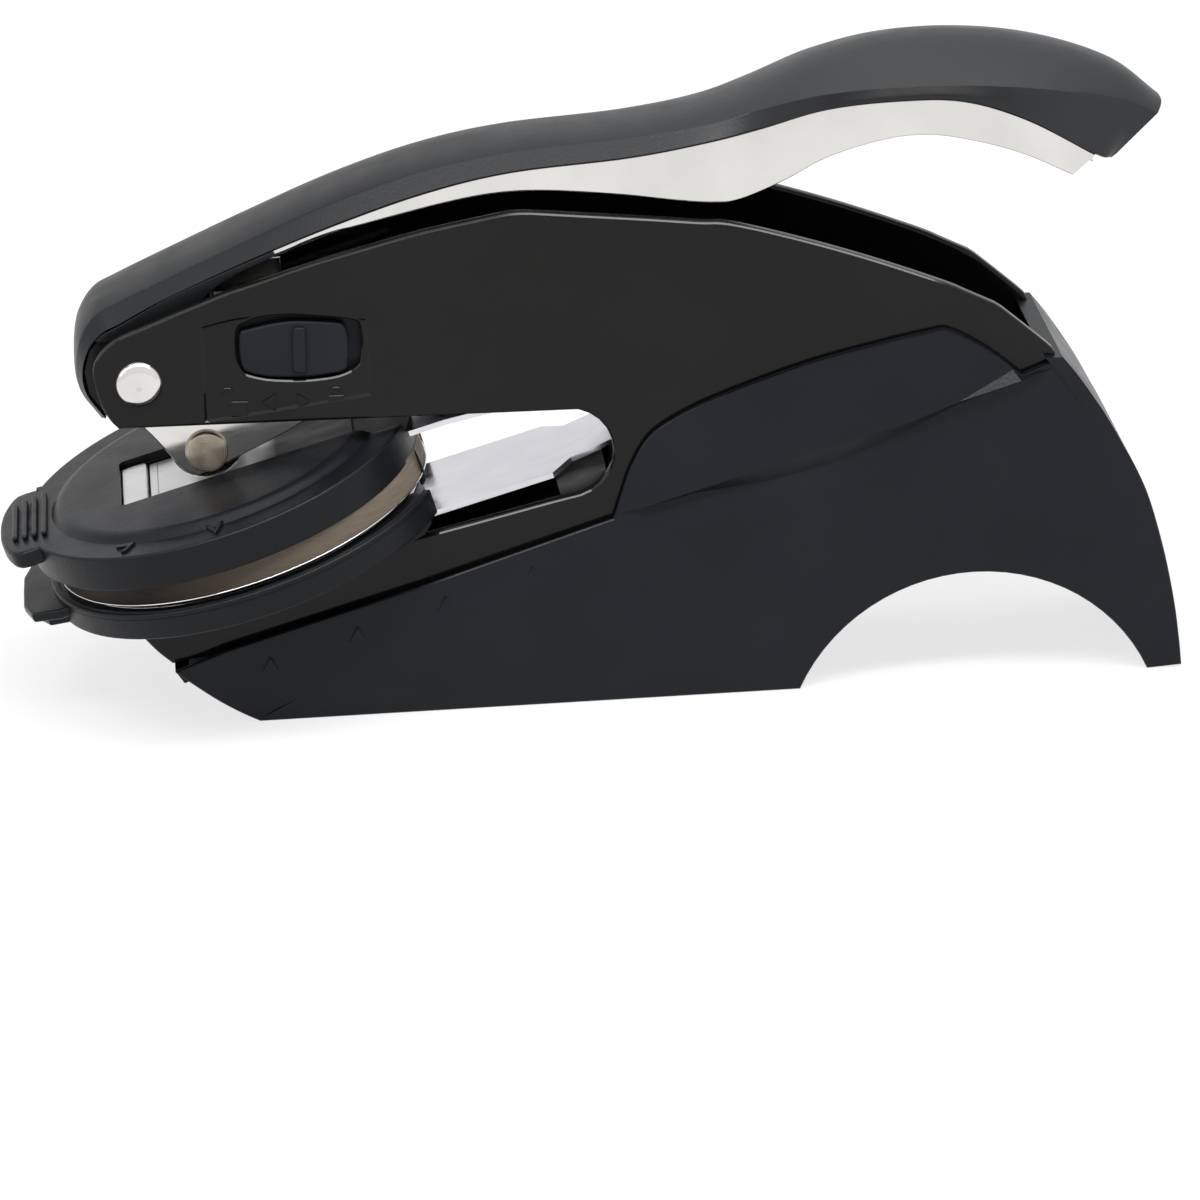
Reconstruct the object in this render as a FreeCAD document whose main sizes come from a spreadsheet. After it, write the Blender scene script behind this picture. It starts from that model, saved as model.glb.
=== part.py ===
import FreeCAD, Part
import math
import os

import Sketcher

# A hand-held seal embosser that stands on a desk. A long lever turns on a rivet at the nose of two side
# plates. Its short front lobes carry a roller that pushes a round die insert shut over the paper.
# X runs from the insert at the front to the rear foot, Y across, Z up from the table. Millimetres.

document = FreeCAD.newDocument("seal_embosser")
sheet = document.addObject("Spreadsheet::Sheet", "Sizes")

SIZES = [
    ("body_length", 132.7, "die axis to the rear foot"),
    ("body_height", 91.2, "table to the top of the grip"),
    ("base_width", 28.8, "base shell across its foot"),
    ("base_top_width", 26.2, "base shell across its rear top corner"),
    ("base_wall", 2.4, "moulded wall of the base"),
    ("facet_reach", 12.0, "height over which the side facets lean in"),
    ("facet_lean", 0.35, "how far the side facets of the base lean in at their upper edge"),
    ("lip_wall", 0.75, "lip of the base beside the plates"),
    ("groove_depth", 2.0, "groove between lip and plate"),
    ("pad_proud", 0.4, "how far the foot pads stand below the shell"),
    ("pad_depth", 1.4, "foot pad thickness"),
    ("pad_length", 10.0, "foot pad along the base"),
    ("pad_width", 20.0, "foot pad across the base"),
    ("plates_width", 24.68, "across both side plates"),
    ("plate_thickness", 2.0, "side plate steel"),
    ("plate_sink", 2.8, "how deep the plates stand in the base"),
    ("fit_gap", 0.1, "clearance of seated pieces"),
    ("run_gap", 0.05, "radial running clearance on pins"),
    ("point_tolerance", 0.001, "points closer than this are one point"),
    ("overrun", 5.0, "how far a cut runs past the faces it opens"),
    ("pivot_pin_radius", 2.5, "main pin"),
    ("pivot_head_radius", 3.2, "main pin head"),
    ("pivot_head_height", 0.9, "main pin head thickness"),
    ("pivot_washer_radius", 5.2, "washers between lever arms and plates"),
    ("roller_radius", 5.2, "press roller"),
    ("roller_width", 11.8, "press roller along its pin"),
    ("roller_pin_radius", 2.0, "pin of the press roller"),
    ("roller_head_radius", 2.95, "rivet head of the roller pin"),
    ("roller_head_height", 1.1, "rivet head thickness"),
    ("lever_width", 16.6, "across the chrome channel"),
    ("lever_wall", 1.6, "chrome channel sheet"),
    ("cover_width", 17.6, "across the lower edges of the grip cover"),
    ("cover_top_width", 12.6, "flat top between the bevels of the cover"),
    ("grip_width", 23.6, "across the swell of the grip"),
    ("grip_screw_radius", 1.4, "screws that hold the grip cover"),
    ("grip_screw_length", 3.6, "grip screw under its head"),
    ("grip_screw_head_radius", 2.6, "grip screw head"),
    ("grip_screw_head_height", 1.2, "grip screw head thickness"),
    ("window_radius", 2.2, "rounded corners of the lock window"),
    ("coined_depth", 0.2, "coined field round the lock window"),
    ("coined_margin", 4.6, "coined field past the window towards the nose"),
    ("coined_drop", 4.2, "coined field below the window"),
    ("lock_travel", 2.7, "slide of the lock"),
    ("slider_flange", 1.3, "thickness of the lock slider behind the plate"),
    ("slider_recess", 0.35, "slider face below the plate face"),
    ("slider_rib_height", 0.5, "thumb rib on the slider"),
    ("slider_margin", 1.8, "slider flange above and below its button"),
    ("slider_reach", 3.2, "slider flange before and behind its button"),
    ("tongue_length", 2.8, "lock tongue past the slider"),
    ("rail_height", 1.2, "guide rail above and below the slider"),
    ("stop_pin_radius", 1.5, "pin that stops the lever at the top"),
    ("stop_pin_seat", 1.0, "how deep the stop pin sits in each plate"),
    ("tie_block_length", 11.0, "block that ties the plates together"),
    ("tie_block_height", 6.5, "tie block height"),
    ("tie_rivet_radius", 1.9, "flush rivet through plates and tie block"),
    ("screw_radius", 1.5, "screw from below into a tie block"),
    ("screw_head_radius", 2.9, "head of that screw"),
    ("screw_head_height", 1.8, "thickness of that head"),
    ("screw_grip", 4.5, "how deep the screw bites into the block"),
    ("boss_radius", 4.0, "screw boss inside the base"),
    ("lower_holder_radius", 28.4, "lower holder at its foot"),
    ("lower_holder_rim_radius", 28.0, "lower holder at its rim"),
    ("lower_holder_height", 3.56, "lower holder thickness"),
    ("holder_gap", 4.87, "between the rims of the two holders"),
    ("lower_plate_radius", 25.5, "chrome die plate, a two inch seal"),
    ("lower_plate_thickness", 1.6, "chrome die plate"),
    ("lower_plate_drop", 0.08, "die plate below the holder rim"),
    ("counter_die_radius", 24.95, "counter die"),
    ("tab_drop", 0.5, "finger tabs below the rims of the holders"),
    ("paper_gap", 0.8, "between the dies, for the paper"),
    ("upper_holder_radius", 29.26, "upper holder at its lower rim"),
    ("upper_holder_top_radius", 29.64, "upper holder at its upper rim"),
    ("upper_holder_height", 4.39, "upper holder rim"),
    ("plateau_radius", 22.6, "raised middle of the upper holder"),
    ("plateau_slope", 2.4, "soft slope round the raised middle"),
    ("plateau_rise", 1.0, "how far it is raised"),
    ("channel_width", 16.5, "open channel for the pressure strip"),
    ("channel_front", 14.5, "die axis to the front end of the channel"),
    ("strip_rear", 19.0, "die axis to the rear end of the strip"),
    ("strip_width", 15.0, "pressure strip"),
    ("strip_thickness", 1.0, "pressure strip"),
    ("strip_step", 0.5, "front end of the strip above the rest"),
    ("strip_step_length", 3.8, "front end of the strip"),
    ("roller_gap", 0.12, "roller to strip at rest"),
    ("tab_reach", 3.3, "finger tabs past the holders"),
    ("tab_width", 22.0, "finger tabs across"),
    ("tab_rib_width", 1.3, "ribs on the finger tabs"),
    ("tab_rib_height", 0.6, "ribs on the finger tabs"),
    ("leaf_width", 13.3, "spring clip across"),
    ("leaf_thickness", 0.8, "spring clip steel"),
    ("leaf_side_gap", 0.25, "room beside the leaves where they are guided"),
    ("fold_radius", 2.4, "fold at the rear of the spring clip"),
    ("leaf_guide_depth", 13.7, "floor of the leaf guide below the upper holder"),
    ("guide_floor", 1.8, "floor of the leaf guide"),
    ("guide_cheek", 3.0, "cheeks of the leaf guide above its floor"),
    ("guide_length", 7.0, "leaf guide along the insert"),
    ("leaf_drop", 2.1, "upper leaf below the top of the holder rim"),
    ("clip_rivet_radius", 1.5, "rivets of the spring clip"),
    ("clip_rivet_head_radius", 2.4, "heads of those rivets"),
    ("clip_rivet_head_height", 0.8, "heads of those rivets"),
    ("clip_rivet_depth", 1.5, "how deep the rivets stand in the holder"),
    ("clip_rivet_spacing", 14.0, "between the two rivets"),
    ("lower_tab_chamfer", 1.6, "slanted underside of the lower finger tab"),
    ("wire_radius", 0.6, "return spring wire"),
    ("coil_radius", 4.0, "return spring, middle of the wire"),
    ("coil_pitch", 2.5, "return spring turn to turn"),
]
for row, (name, value, meaning) in enumerate(SIZES, start=1):
    sheet.set(f"A{row}", meaning)
    sheet.set(f"B{row}", str(value))
    sheet.setAlias(f"B{row}", name)
document.recompute()


def size(name):
    return float(sheet.get(name))


body_length = size("body_length")
body_height = size("body_height")

# Outlines seen from the side. Each point is a share of body_length behind the die axis and a share of
# body_height above the table.
pivot_share = (-0.0898, 0.5526)
roller_share = (-0.0238, 0.4238)
die_point_share = (0.0, 0.327)
die_slope_share = (0.7252, 0.6246)

plate_nose_shares = [(-0.113, 0.4814), (-0.1321, 0.532), (-0.1338, 0.5889), (-0.1023, 0.6288)]
plate_top_shares = [
    (-0.0226, 0.6732), (0.0882, 0.7248), (0.2833, 0.7884), (0.3127, 0.7917), (0.4913, 0.7621),
    (0.5222, 0.7566),
]
plate_rear_shares = [(0.6647, 0.6908), (0.798, 0.6064), (0.8553, 0.5362), (0.8628, 0.5197), (0.8628, 0.4386)]
plate_foot_shares = [(0.844, 0.2851), (0.4371, 0.2851)]
throat_top_share = (0.3489, 0.4748)
throat_end_shares = [(0.3964, 0.4024), (0.3617, 0.3355)]
throat_low_shares = [(0.3007, 0.3158), (0.1876, 0.278)]
jaw_front_shares = [(-0.0723, 0.0943), (-0.0995, 0.1382)]
plate_heel_share = (-0.0301, 0.1096)
groove_shares = [(-0.0708, 0.0921), (0.1899, 0.2061), (0.3949, 0.2982)]

base_chin_shares = [(-0.0693, 0.0899), (0.0166, 0.0)]
arch_shares = [(0.5893, 0.0), (0.7762, 0.1765), (0.9631, 0.0)]
base_rear_shares = [
    (1.0, 0.0), (0.991, 0.1118), (0.9638, 0.2763), (0.9344, 0.3695), (0.9013, 0.4529),
    (0.8681, 0.5197),
]
panel_shares = [
    (0.8259, 0.4956), (0.7506, 0.5746), (0.5991, 0.5307), (0.4333, 0.4265), (0.4137, 0.3783),
    (0.3949, 0.2993),
]
crease_shares = [(0.0264, 0.0132), (0.1341, 0.1053), (0.2321, 0.1656), (0.422, 0.2588)]
ridge_shares = [(0.3949, 0.2982), (0.6405, 0.3914), (0.7257, 0.4474), (0.8659, 0.5049)]
front_pad_share = (0.1055, 0.0)
rear_pad_share = (0.5426, 0.0)
front_block_share = (0.4484, 0.3235)
rear_block_share = (0.7762, 0.3399)
guide_share = (0.3693, 0.3311)

channel_low_shares = [
    (-0.0106, 0.6919), (0.1492, 0.7643), (0.2886, 0.8081), (0.4145, 0.795), (0.5237, 0.7752),
]
channel_hump_shares = [(0.6285, 0.8377), (0.7234, 0.864), (0.835, 0.8246), (0.8832, 0.7895)]
channel_tip_share = (0.9066, 0.8158)
arm_front_shares = [(-0.1017, 0.6115), (-0.132, 0.5526), (-0.1197, 0.5092)]
arm_throat_shares = [(-0.0867, 0.4638), (-0.0595, 0.4145)]
arm_lobe_shares = [(-0.0422, 0.3871), (-0.0151, 0.3947), (0.0784, 0.4616), (0.1356, 0.5263)]
arm_rear_shares = [(0.1809, 0.5592), (0.2035, 0.5757), (0.2035, 0.5965), (0.162, 0.5965), (0.162, 0.6447)]
arm_lock_shares = [
    (0.101, 0.6447), (0.101, 0.6305), (0.1243, 0.6305), (0.1243, 0.5746), (0.0648, 0.5746),
    (0.0648, 0.6689), (-0.0106, 0.6601),
]
stop_pin_share = (0.1854, 0.614)

# Stations along the grip cover, from the nose to the tail. Each one gives the lower edge and the crown as
# side view shares, how far up between them the crease lies, how wide the crease is between the front of
# the cover and the full swell of the grip, and the width of the lower edge as a share of cover_width.
cover_station_shares = [
    ((-0.1251, 0.4879), (-0.1334, 0.4704), 0.6, 0.0, 1.0),
    ((-0.1424, 0.5252), (-0.1522, 0.5186), 0.7, 0.0, 1.0),
    ((-0.1462, 0.5603), (-0.1552, 0.5625), 0.75, 0.0, 1.0),
    ((-0.1387, 0.5954), (-0.15, 0.6096), 0.75, 0.0, 1.0),
    ((-0.1243, 0.6195), (-0.1334, 0.6447), 0.85, 0.0, 1.0),
    ((-0.1032, 0.6349), (-0.1093, 0.6634), 0.85, 0.0, 1.0),
    ((-0.0595, 0.6721), (-0.0625, 0.6941), 0.8, 0.0, 1.0),
    ((0.0332, 0.7346), (0.0317, 0.7544), 0.8, 0.0, 1.0),
    ((0.1243, 0.7818), (0.1243, 0.8103), 0.8, 0.0, 1.0),
    ((0.214, 0.8191), (0.214, 0.8498), 0.82, 0.0, 1.0),
    ((0.3014, 0.8399), (0.3014, 0.8717), 0.82, 0.0, 1.0),
    ((0.422, 0.8531), (0.422, 0.8849), 0.8, 0.0, 1.0),
    ((0.5034, 0.8706), (0.5034, 0.9046), 0.71, 0.1, 1.0),
    ((0.5592, 0.8882), (0.5592, 0.932), 0.65, 0.3, 1.0),
    ((0.6255, 0.9123), (0.6255, 0.9726), 0.5, 0.7, 1.0),
    ((0.6986, 0.92), (0.6986, 0.9978), 0.42, 1.0, 1.0),
    ((0.7687, 0.9145), (0.78, 1.0), 0.42, 1.0, 1.0),
    ((0.8365, 0.8794), (0.8591, 0.9803), 0.54, 0.7, 1.0),
    ((0.9066, 0.8202), (0.9344, 0.9386), 0.7, 0.1, 1.0),
    ((0.9254, 0.8048), (0.9864, 0.8794), 0.85, -0.25, 0.7),
]
cover_nose_stations = 5
shoulder_rise_share = 0.5
shoulder_width_share = 0.72
crown_width_share = 0.3
skirt_shares = [(-0.0106, 0.6469), (-0.0603, 0.625), (-0.1145, 0.6228)]
screw_place_shares = (0.36, 0.72)

window_left_share = (0.0158, 0.5482)
window_right_share = (0.1413, 0.6458)
button_edge_share = (0.1206, 0.5965)
rib_shares = [(0.0693, 0.5581), (0.0829, 0.6272)]
tongue_shares = [(0.0821, 0.5987), (0.0972, 0.614)]

# The lower leaf of the clip, as shares of the lower holder's radius to the rear and of the insert's depth
# below the upper holder.
leaf_low_shares = [
    (-0.35, 1.0), (0.69, 1.0), (0.863, 1.43), (1.43, 1.495), (1.585, 1.21), (1.83, 1.068), (2.6, 0.75),
]
bed_shares = (-0.556, 0.79)
tab_rib_count = 4
rib_reach_share = 0.75
fold_steps = 8
spring_turns = 3
wire_sides = 6
spring_leg_share = (0.0904, 0.7346)

NODES = [
    "base_shell", "front_foot_pad", "rear_foot_pad", "side_plate_left", "side_plate_right", "frame_tie_blocks",
    "base_screws", "frame_rivets", "leaf_guide", "main_pivot_pin", "pivot_washers", "lever_stop_pin",
    "lever_return_spring", "lock_guide_rails", "lever_channel", "grip_cover", "grip_screws", "roller_pin",
    "roller_washers", "press_roller", "lock_slider", "lock_tongue", "lower_holder", "lower_die_plate",
    "spring_clip", "clip_rivets", "upper_holder", "counter_die", "pressure_strip",
]


def place(share):
    # A side view share becomes a point in the middle plane.
    return FreeCAD.Vector(share[0] * body_length, 0, share[1] * body_height)


def places(shares):
    return [place(share) for share in shares]


def smooth(points):
    # Round stretch through the points.
    curve = Part.BSplineCurve()
    curve.interpolate(points)
    return curve.toShape()


def outline(stretches):
    # A closed outline from stretches. A stretch is a list of points joined by straight lines, or a
    # tuple: ("round", points) is one curve through its points and ("arc", points) an arc through three.
    edges = []
    last = None
    first = None
    for stretch in stretches:
        kind, points = stretch if isinstance(stretch, tuple) else ("straight", stretch)
        if first is None:
            first = points[0]
        if last is not None and not last.isEqual(points[0], size("point_tolerance")):
            edges.append(Part.LineSegment(last, points[0]).toShape())
        if kind == "round":
            edges.append(smooth(points))
        elif kind == "arc":
            edges.append(Part.Arc(points[0], points[1], points[2]).toShape())
        else:
            for start, end in zip(points, points[1:]):
                edges.append(Part.LineSegment(start, end).toShape())
        last = points[-1]
    if not last.isEqual(first, size("point_tolerance")):
        edges.append(Part.LineSegment(last, first).toShape())
    return Part.Wire(edges)


def slab(wire, near, far):
    # The outline lies in the middle plane and is filled from near to far across the machine.
    face = Part.Face(wire)
    face.translate(FreeCAD.Vector(0, near, 0))
    return face.extrude(FreeCAD.Vector(0, far - near, 0))


def box(x_from, x_to, y_from, y_to, z_from, z_to):
    return Part.makeBox(x_to - x_from, y_to - y_from, z_to - z_from, FreeCAD.Vector(x_from, y_from, z_from))


def rod(centre, radius, near, far):
    # A round bar across the machine.
    start = FreeCAD.Vector(centre.x, near, centre.z)
    return Part.makeCylinder(radius, far - near, start, FreeCAD.Vector(0, 1, 0))


def disc(radius, low, high, centre_x=0.0):
    return Part.makeCylinder(radius, high - low, FreeCAD.Vector(centre_x, 0, low))


def mirrored(shape):
    return shape.mirror(FreeCAD.Vector(0, 0, 0), FreeCAD.Vector(0, 1, 0))


def add(node, shape, frame):
    piece = document.addObject("Part::Feature", node)
    piece.Label = node
    piece.Shape = shape
    piece.Placement = frame.multiply(shape.Placement)
    return piece


def round_bar(node, name, centre, radius, near, length, frame):
    # A cylinder across the machine whose sizes stay bound to the sheet.
    bar = document.addObject("Part::Cylinder", f"{node}_{name}")
    bar.setExpression("Radius", radius)
    bar.setExpression("Height", length)
    turn = FreeCAD.Rotation(FreeCAD.Vector(1, 0, 0), -90)
    bar.Placement = frame.multiply(FreeCAD.Placement(FreeCAD.Vector(centre.x, near, centre.z), turn))
    return bar


def joined(node, pieces):
    whole = document.addObject("Part::MultiFuse", node)
    whole.Label = node
    whole.Shapes = pieces
    return whole


def padded_block(node, length, width, height, centre, frame):
    # A rectangular block drawn about its own middle and padded up from its foot.
    body = document.addObject("PartDesign::Body", node)
    body.Label = node
    sketch = body.newObject("Sketcher::SketchObject", f"{node}_plan")
    plan = [feature for feature in body.Origin.OriginFeatures if feature.Role == "XY_Plane"][0]
    sketch.AttachmentSupport = [(plan, "")]
    sketch.MapMode = "FlatFace"
    corners = [FreeCAD.Vector(x, y, 0) for x, y in ((-1, -1), (1, -1), (1, 1), (-1, 1))]
    for start, end in zip(corners, corners[1:] + corners[:1]):
        sketch.addGeometry(Part.LineSegment(start, end), False)
    for index in range(len(corners)):
        following = (index + 1) % len(corners)
        sketch.addConstraint(Sketcher.Constraint("Coincident", index, 2, following, 1))
    sketch.addConstraint(Sketcher.Constraint("Horizontal", 0))
    sketch.addConstraint(Sketcher.Constraint("Horizontal", 2))
    sketch.addConstraint(Sketcher.Constraint("Vertical", 1))
    sketch.addConstraint(Sketcher.Constraint("Vertical", 3))
    sketch.addConstraint(Sketcher.Constraint("Symmetric", 0, 1, 1, 2, -1, 1))
    along = sketch.addConstraint(Sketcher.Constraint("DistanceX", 0, 1, 0, 2, 2.0))
    across = sketch.addConstraint(Sketcher.Constraint("DistanceY", 1, 1, 1, 2, 2.0))
    sketch.setExpression(f"Constraints[{along}]", length)
    sketch.setExpression(f"Constraints[{across}]", width)
    pad = body.newObject("PartDesign::Pad", f"{node}_pad")
    pad.Profile = sketch
    pad.setExpression("Length", height)
    body.Placement = frame.multiply(FreeCAD.Placement(centre, FreeCAD.Rotation()))
    return body


# Places that several pieces share.
overrun = size("overrun")
fit_gap = size("fit_gap")
run_gap = size("run_gap")
half_plates = size("plates_width") / 2
plate_inner = half_plates - size("plate_thickness")
half_lever = size("lever_width") / 2
lever_inner = half_lever - size("lever_wall")
half_cover = size("cover_width") / 2
pivot = place(pivot_share)
roller_centre = place(roller_share)
die_point = place(die_point_share)
slope = place(die_slope_share) - die_point
tilt = math.degrees(math.atan2(slope.z, slope.x))

# The insert has its own frame: X up the slope to the rear, Z square to the dies, origin on the die axis at
# the lower rim of the upper holder.
insert_tilt = FreeCAD.Placement(die_point, FreeCAD.Rotation(FreeCAD.Vector(0, 1, 0), -tilt))
holder_bed = -(size("holder_gap") + size("lower_holder_height"))
upper_rim = size("upper_holder_height")
tab_front = size("upper_holder_radius") + size("tab_reach")
strip_top = insert_tilt.inverse().multVec(roller_centre).z - size("roller_radius") - size("roller_gap")
channel_floor = strip_top - size("strip_thickness")

# The origin is on the table, under the middle of the whole length.
front_end = insert_tilt.multVec(FreeCAD.Vector(-tab_front, 0, upper_rim)).x
middle = (front_end + body_length) / 2
machine = FreeCAD.Placement(FreeCAD.Vector(-middle, 0, 0), FreeCAD.Rotation())
insert_frame = machine.multiply(insert_tilt)


def lowered(point, drop):
    return FreeCAD.Vector(point.x, point.y, point.z - drop)


def on_bed(along):
    return insert_tilt.multVec(FreeCAD.Vector(along, 0, holder_bed - fit_gap))


# Side plates: nose round the pivot, upper jaw, throat, lower jaw under the insert, and a foot hidden in
# the base.
nose = places(plate_nose_shares)
top = places(plate_top_shares)
rear = places(plate_rear_shares)
groove = places(groove_shares)
plate_foot = [lowered(point, size("plate_sink")) for point in (groove[2], groove[1], place(plate_heel_share))]
bed_ends = [on_bed(share * size("lower_holder_radius")) for share in bed_shares]
throat_low = places(throat_low_shares)
throat_end = places(throat_end_shares)
plate_wire = outline([
    ("round", nose),
    ("round", [nose[-1]] + top[:4]),
    top[4:],
    ("round", [top[5], rear[0], rear[1]]),
    rear[2:],
    places(plate_foot_shares),
    plate_foot,
    places(jaw_front_shares),
    bed_ends,
    throat_low[::-1],
    ("arc", [throat_end[1], throat_end[0], place(throat_top_share)]),
])
pin_hole = size("pivot_pin_radius") + run_gap
tie_hole = size("tie_rivet_radius") + run_gap
front_block = place(front_block_share)
rear_block = place(rear_block_share)
rivet_offset = FreeCAD.Vector(size("tie_block_length") / 4, 0, 0)
stop_pin = place(stop_pin_share)


def side_plate():
    plate = slab(plate_wire, -half_plates, -plate_inner)
    cuts = [rod(pivot, pin_hole, -half_plates - overrun, 0)]
    for block in (front_block, rear_block):
        cuts.append(rod(block - rivet_offset, tie_hole, -half_plates - overrun, 0))
    seat = plate_inner + size("stop_pin_seat")
    cuts.append(rod(stop_pin, size("stop_pin_radius") + run_gap, -seat, 0))
    return plate.cut(cuts)


def rounded(block, radius_name):
    # Rounds the edges of a block that run across the machine.
    across = [edge for edge in block.Edges if edge.BoundBox.YLength > edge.BoundBox.DiagonalLength / 2]
    return block.makeFillet(size(radius_name), across)


window_left = place(window_left_share)
window_right = place(window_right_share)
window = box(window_left.x, window_right.x, -half_plates - overrun, 0, window_left.z, window_right.z)
window = rounded(window, "window_radius")
coined_depth = size("coined_depth")
coined = box(window_left.x - size("coined_margin"), window_right.x + size("window_radius") / 2,
             -half_plates - overrun, -half_plates + coined_depth,
             window_left.z - size("coined_drop"), window_right.z + size("window_radius") / 4)
coined = rounded(coined, "window_radius")
add("side_plate_left", side_plate().cut([window, coined]), machine)
add("side_plate_right", mirrored(side_plate()), machine)

# Base shell: one drafted moulding with an arch under the rear, a slot for the plates and a groove beside
# them at the front.
half_base = size("base_width") / 2
half_base_top = size("base_top_width") / 2
base_rear = places(base_rear_shares)
base_top = base_rear[-1].z


def drafted(shrink):
    # The drafted width of the base, drawn along its whole length.
    low = half_base - shrink
    high = half_base_top - shrink
    front = -body_length
    corners = [(-low, 0), (low, 0), (high, base_top), (-high, base_top)]
    points = [FreeCAD.Vector(front, y, z) for y, z in corners]
    face = Part.Face(Part.makePolygon(points + points[:1]))
    return face.extrude(FreeCAD.Vector(3 * body_length, 0, 0))


chin = places(base_chin_shares)
arch = places(arch_shares)
panel = places(panel_shares)
base_wire = outline([
    chin,
    ("arc", arch),
    ("round", base_rear[:5]),
    base_rear[4:] + panel[:1],
    ("round", panel[:4]),
    panel[3:],
    groove[::-1],
])
base = slab(base_wire, -half_base, half_base)
taller = box(-body_length, 2 * body_length, -half_base, half_base, base_top, body_height)
draft = drafted(0).fuse(taller.common(slab(base_wire, -half_base_top, half_base_top)))
base = base.common(draft)
arch_curve = Part.Arc(arch[0], arch[1], arch[2]).toShape().Curve
floor = size("pad_proud") + size("base_wall")
wall = size("base_wall")
cavity_wire = outline([
    [FreeCAD.Vector(chin[1].x + wall, 0, floor)],
    [FreeCAD.Vector(base_rear[0].x - wall, 0, floor)],
    [FreeCAD.Vector(point.x - wall, 0, point.z) for point in base_rear[1:5]],
    [FreeCAD.Vector(base_rear[4].x - wall, 0, body_height)],
    [FreeCAD.Vector(groove[2].x, 0, body_height)],
    [lowered(groove[2], -wall)],
    [FreeCAD.Vector(groove[0].x + 2 * wall, 0, groove[1].z)],
    [FreeCAD.Vector(groove[0].x + 2 * wall, 0, plate_foot[2].z)],
])
cavity = slab(cavity_wire, -plate_inner, plate_inner)
arch_cover = rod(arch_curve.Center, arch_curve.Radius + wall, -half_base, half_base)
cavity = cavity.cut(arch_cover)
plate_slot = slab(plate_wire, -half_plates - fit_gap, half_plates + fit_gap)
groove_band = outline([groove, [lowered(point, size("groove_depth")) for point in groove[::-1]]])
groove_cut = slab(groove_band, -half_base, half_base).common(drafted(size("lip_wall")))
under = box(-body_length, 2 * body_length, -half_base, half_base, -overrun, size("pad_proud"))
base = base.cut([cavity, plate_slot, groove_cut, under])


def on_side(point, side, inset):
    # A point of the side outline laid on one drafted side of the base, moved in by inset.
    width = half_base - (half_base - half_base_top) * point.z / base_top
    return FreeCAD.Vector(point.x, side * (width - inset), point.z)


def side_facet(low, high, side):
    # A flat cutter that takes nothing along the line from low to high and facet_lean at its upper edge.
    upward = FreeCAD.Vector(low.z - high.z, 0, high.x - low.x)
    upward.normalize()
    outward = FreeCAD.Vector(0, side * overrun, 0)
    foot = on_side(low, side, 0)
    top = on_side(low + upward * size("facet_reach"), side, size("facet_lean"))
    face = Part.Face(Part.makePolygon([foot, top, top + outward, foot + outward, foot]))
    return face.extrude(on_side(high, side, 0) - foot)


crease = places(crease_shares)
ridge = places(ridge_shares)
facets = []
for line in (crease, ridge):
    for side in (-1, 1):
        facets.append(side_facet(line[0], line[-1], side))
base = base.cut(facets)

half_block = size("tie_block_height") / 2
boss_tops = {}
for block in (front_block, rear_block):
    foot = size("pad_proud")
    screw_x = block.x + rivet_offset.x
    if abs(screw_x - arch_curve.Center.x) < arch_curve.Radius:
        reach = arch_curve.Radius ** 2 - (screw_x - arch_curve.Center.x) ** 2
        foot = arch_curve.Center.z + math.sqrt(reach)
    start = FreeCAD.Vector(screw_x, 0, foot)
    boss = Part.makeCylinder(size("boss_radius"), block.z - half_block - foot, start)
    base = base.fuse(boss)
    bore = Part.makeCylinder(size("screw_radius") + run_gap, block.z - foot, start)
    counterbore = Part.makeCylinder(size("screw_head_radius") + fit_gap, size("screw_head_height"), start)
    base = base.cut([bore, counterbore])
    boss_tops[block.x] = foot + size("screw_head_height")
for share in (front_pad_share, rear_pad_share):
    centre = place(share)
    half_length = size("pad_length") / 2 + fit_gap
    half_width = size("pad_width") / 2 + fit_gap
    base = base.cut(box(centre.x - half_length, centre.x + half_length, -half_width, half_width,
                        0, size("pad_depth")))
add("base_shell", base, machine)
padded_block("front_foot_pad", "Sizes.pad_length", "Sizes.pad_width", "Sizes.pad_depth",
             place(front_pad_share), machine)
padded_block("rear_foot_pad", "Sizes.pad_length", "Sizes.pad_width", "Sizes.pad_depth",
             place(rear_pad_share), machine)

# Tie blocks hold the plates apart. Flush rivets cross them and screws come up into them from the base.
blocks = []
screws = []
for block in (front_block, rear_block):
    half_length = size("tie_block_length") / 2
    solid = box(block.x - half_length, block.x + half_length, -plate_inner, plate_inner,
                block.z - half_block, block.z + half_block)
    low = boss_tops[block.x]
    bite = block.z - half_block
    screw_x = block.x + rivet_offset.x
    reach = bite + size("screw_grip") - low
    shank = Part.makeCylinder(size("screw_radius"), reach, FreeCAD.Vector(screw_x, 0, low))
    head_start = FreeCAD.Vector(screw_x, 0, low - size("screw_head_height"))
    head = Part.makeCylinder(size("screw_head_radius"), size("screw_head_height"), head_start)
    screws.append(shank.fuse(head))
    hole_start = FreeCAD.Vector(screw_x, 0, bite)
    hole = Part.makeCylinder(size("screw_radius") + run_gap, size("screw_grip"), hole_start)
    blocks.append(solid.cut([rod(block - rivet_offset, tie_hole, -half_plates, half_plates), hole]))
add("frame_tie_blocks", Part.makeCompound(blocks), machine)
add("base_screws", Part.makeCompound(screws), machine)
rivets = []
for block in (front_block, rear_block):
    rivets.append(rod(block - rivet_offset, size("tie_rivet_radius"), -half_plates, half_plates))
add("frame_rivets", Part.makeCompound(rivets), machine)

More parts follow.
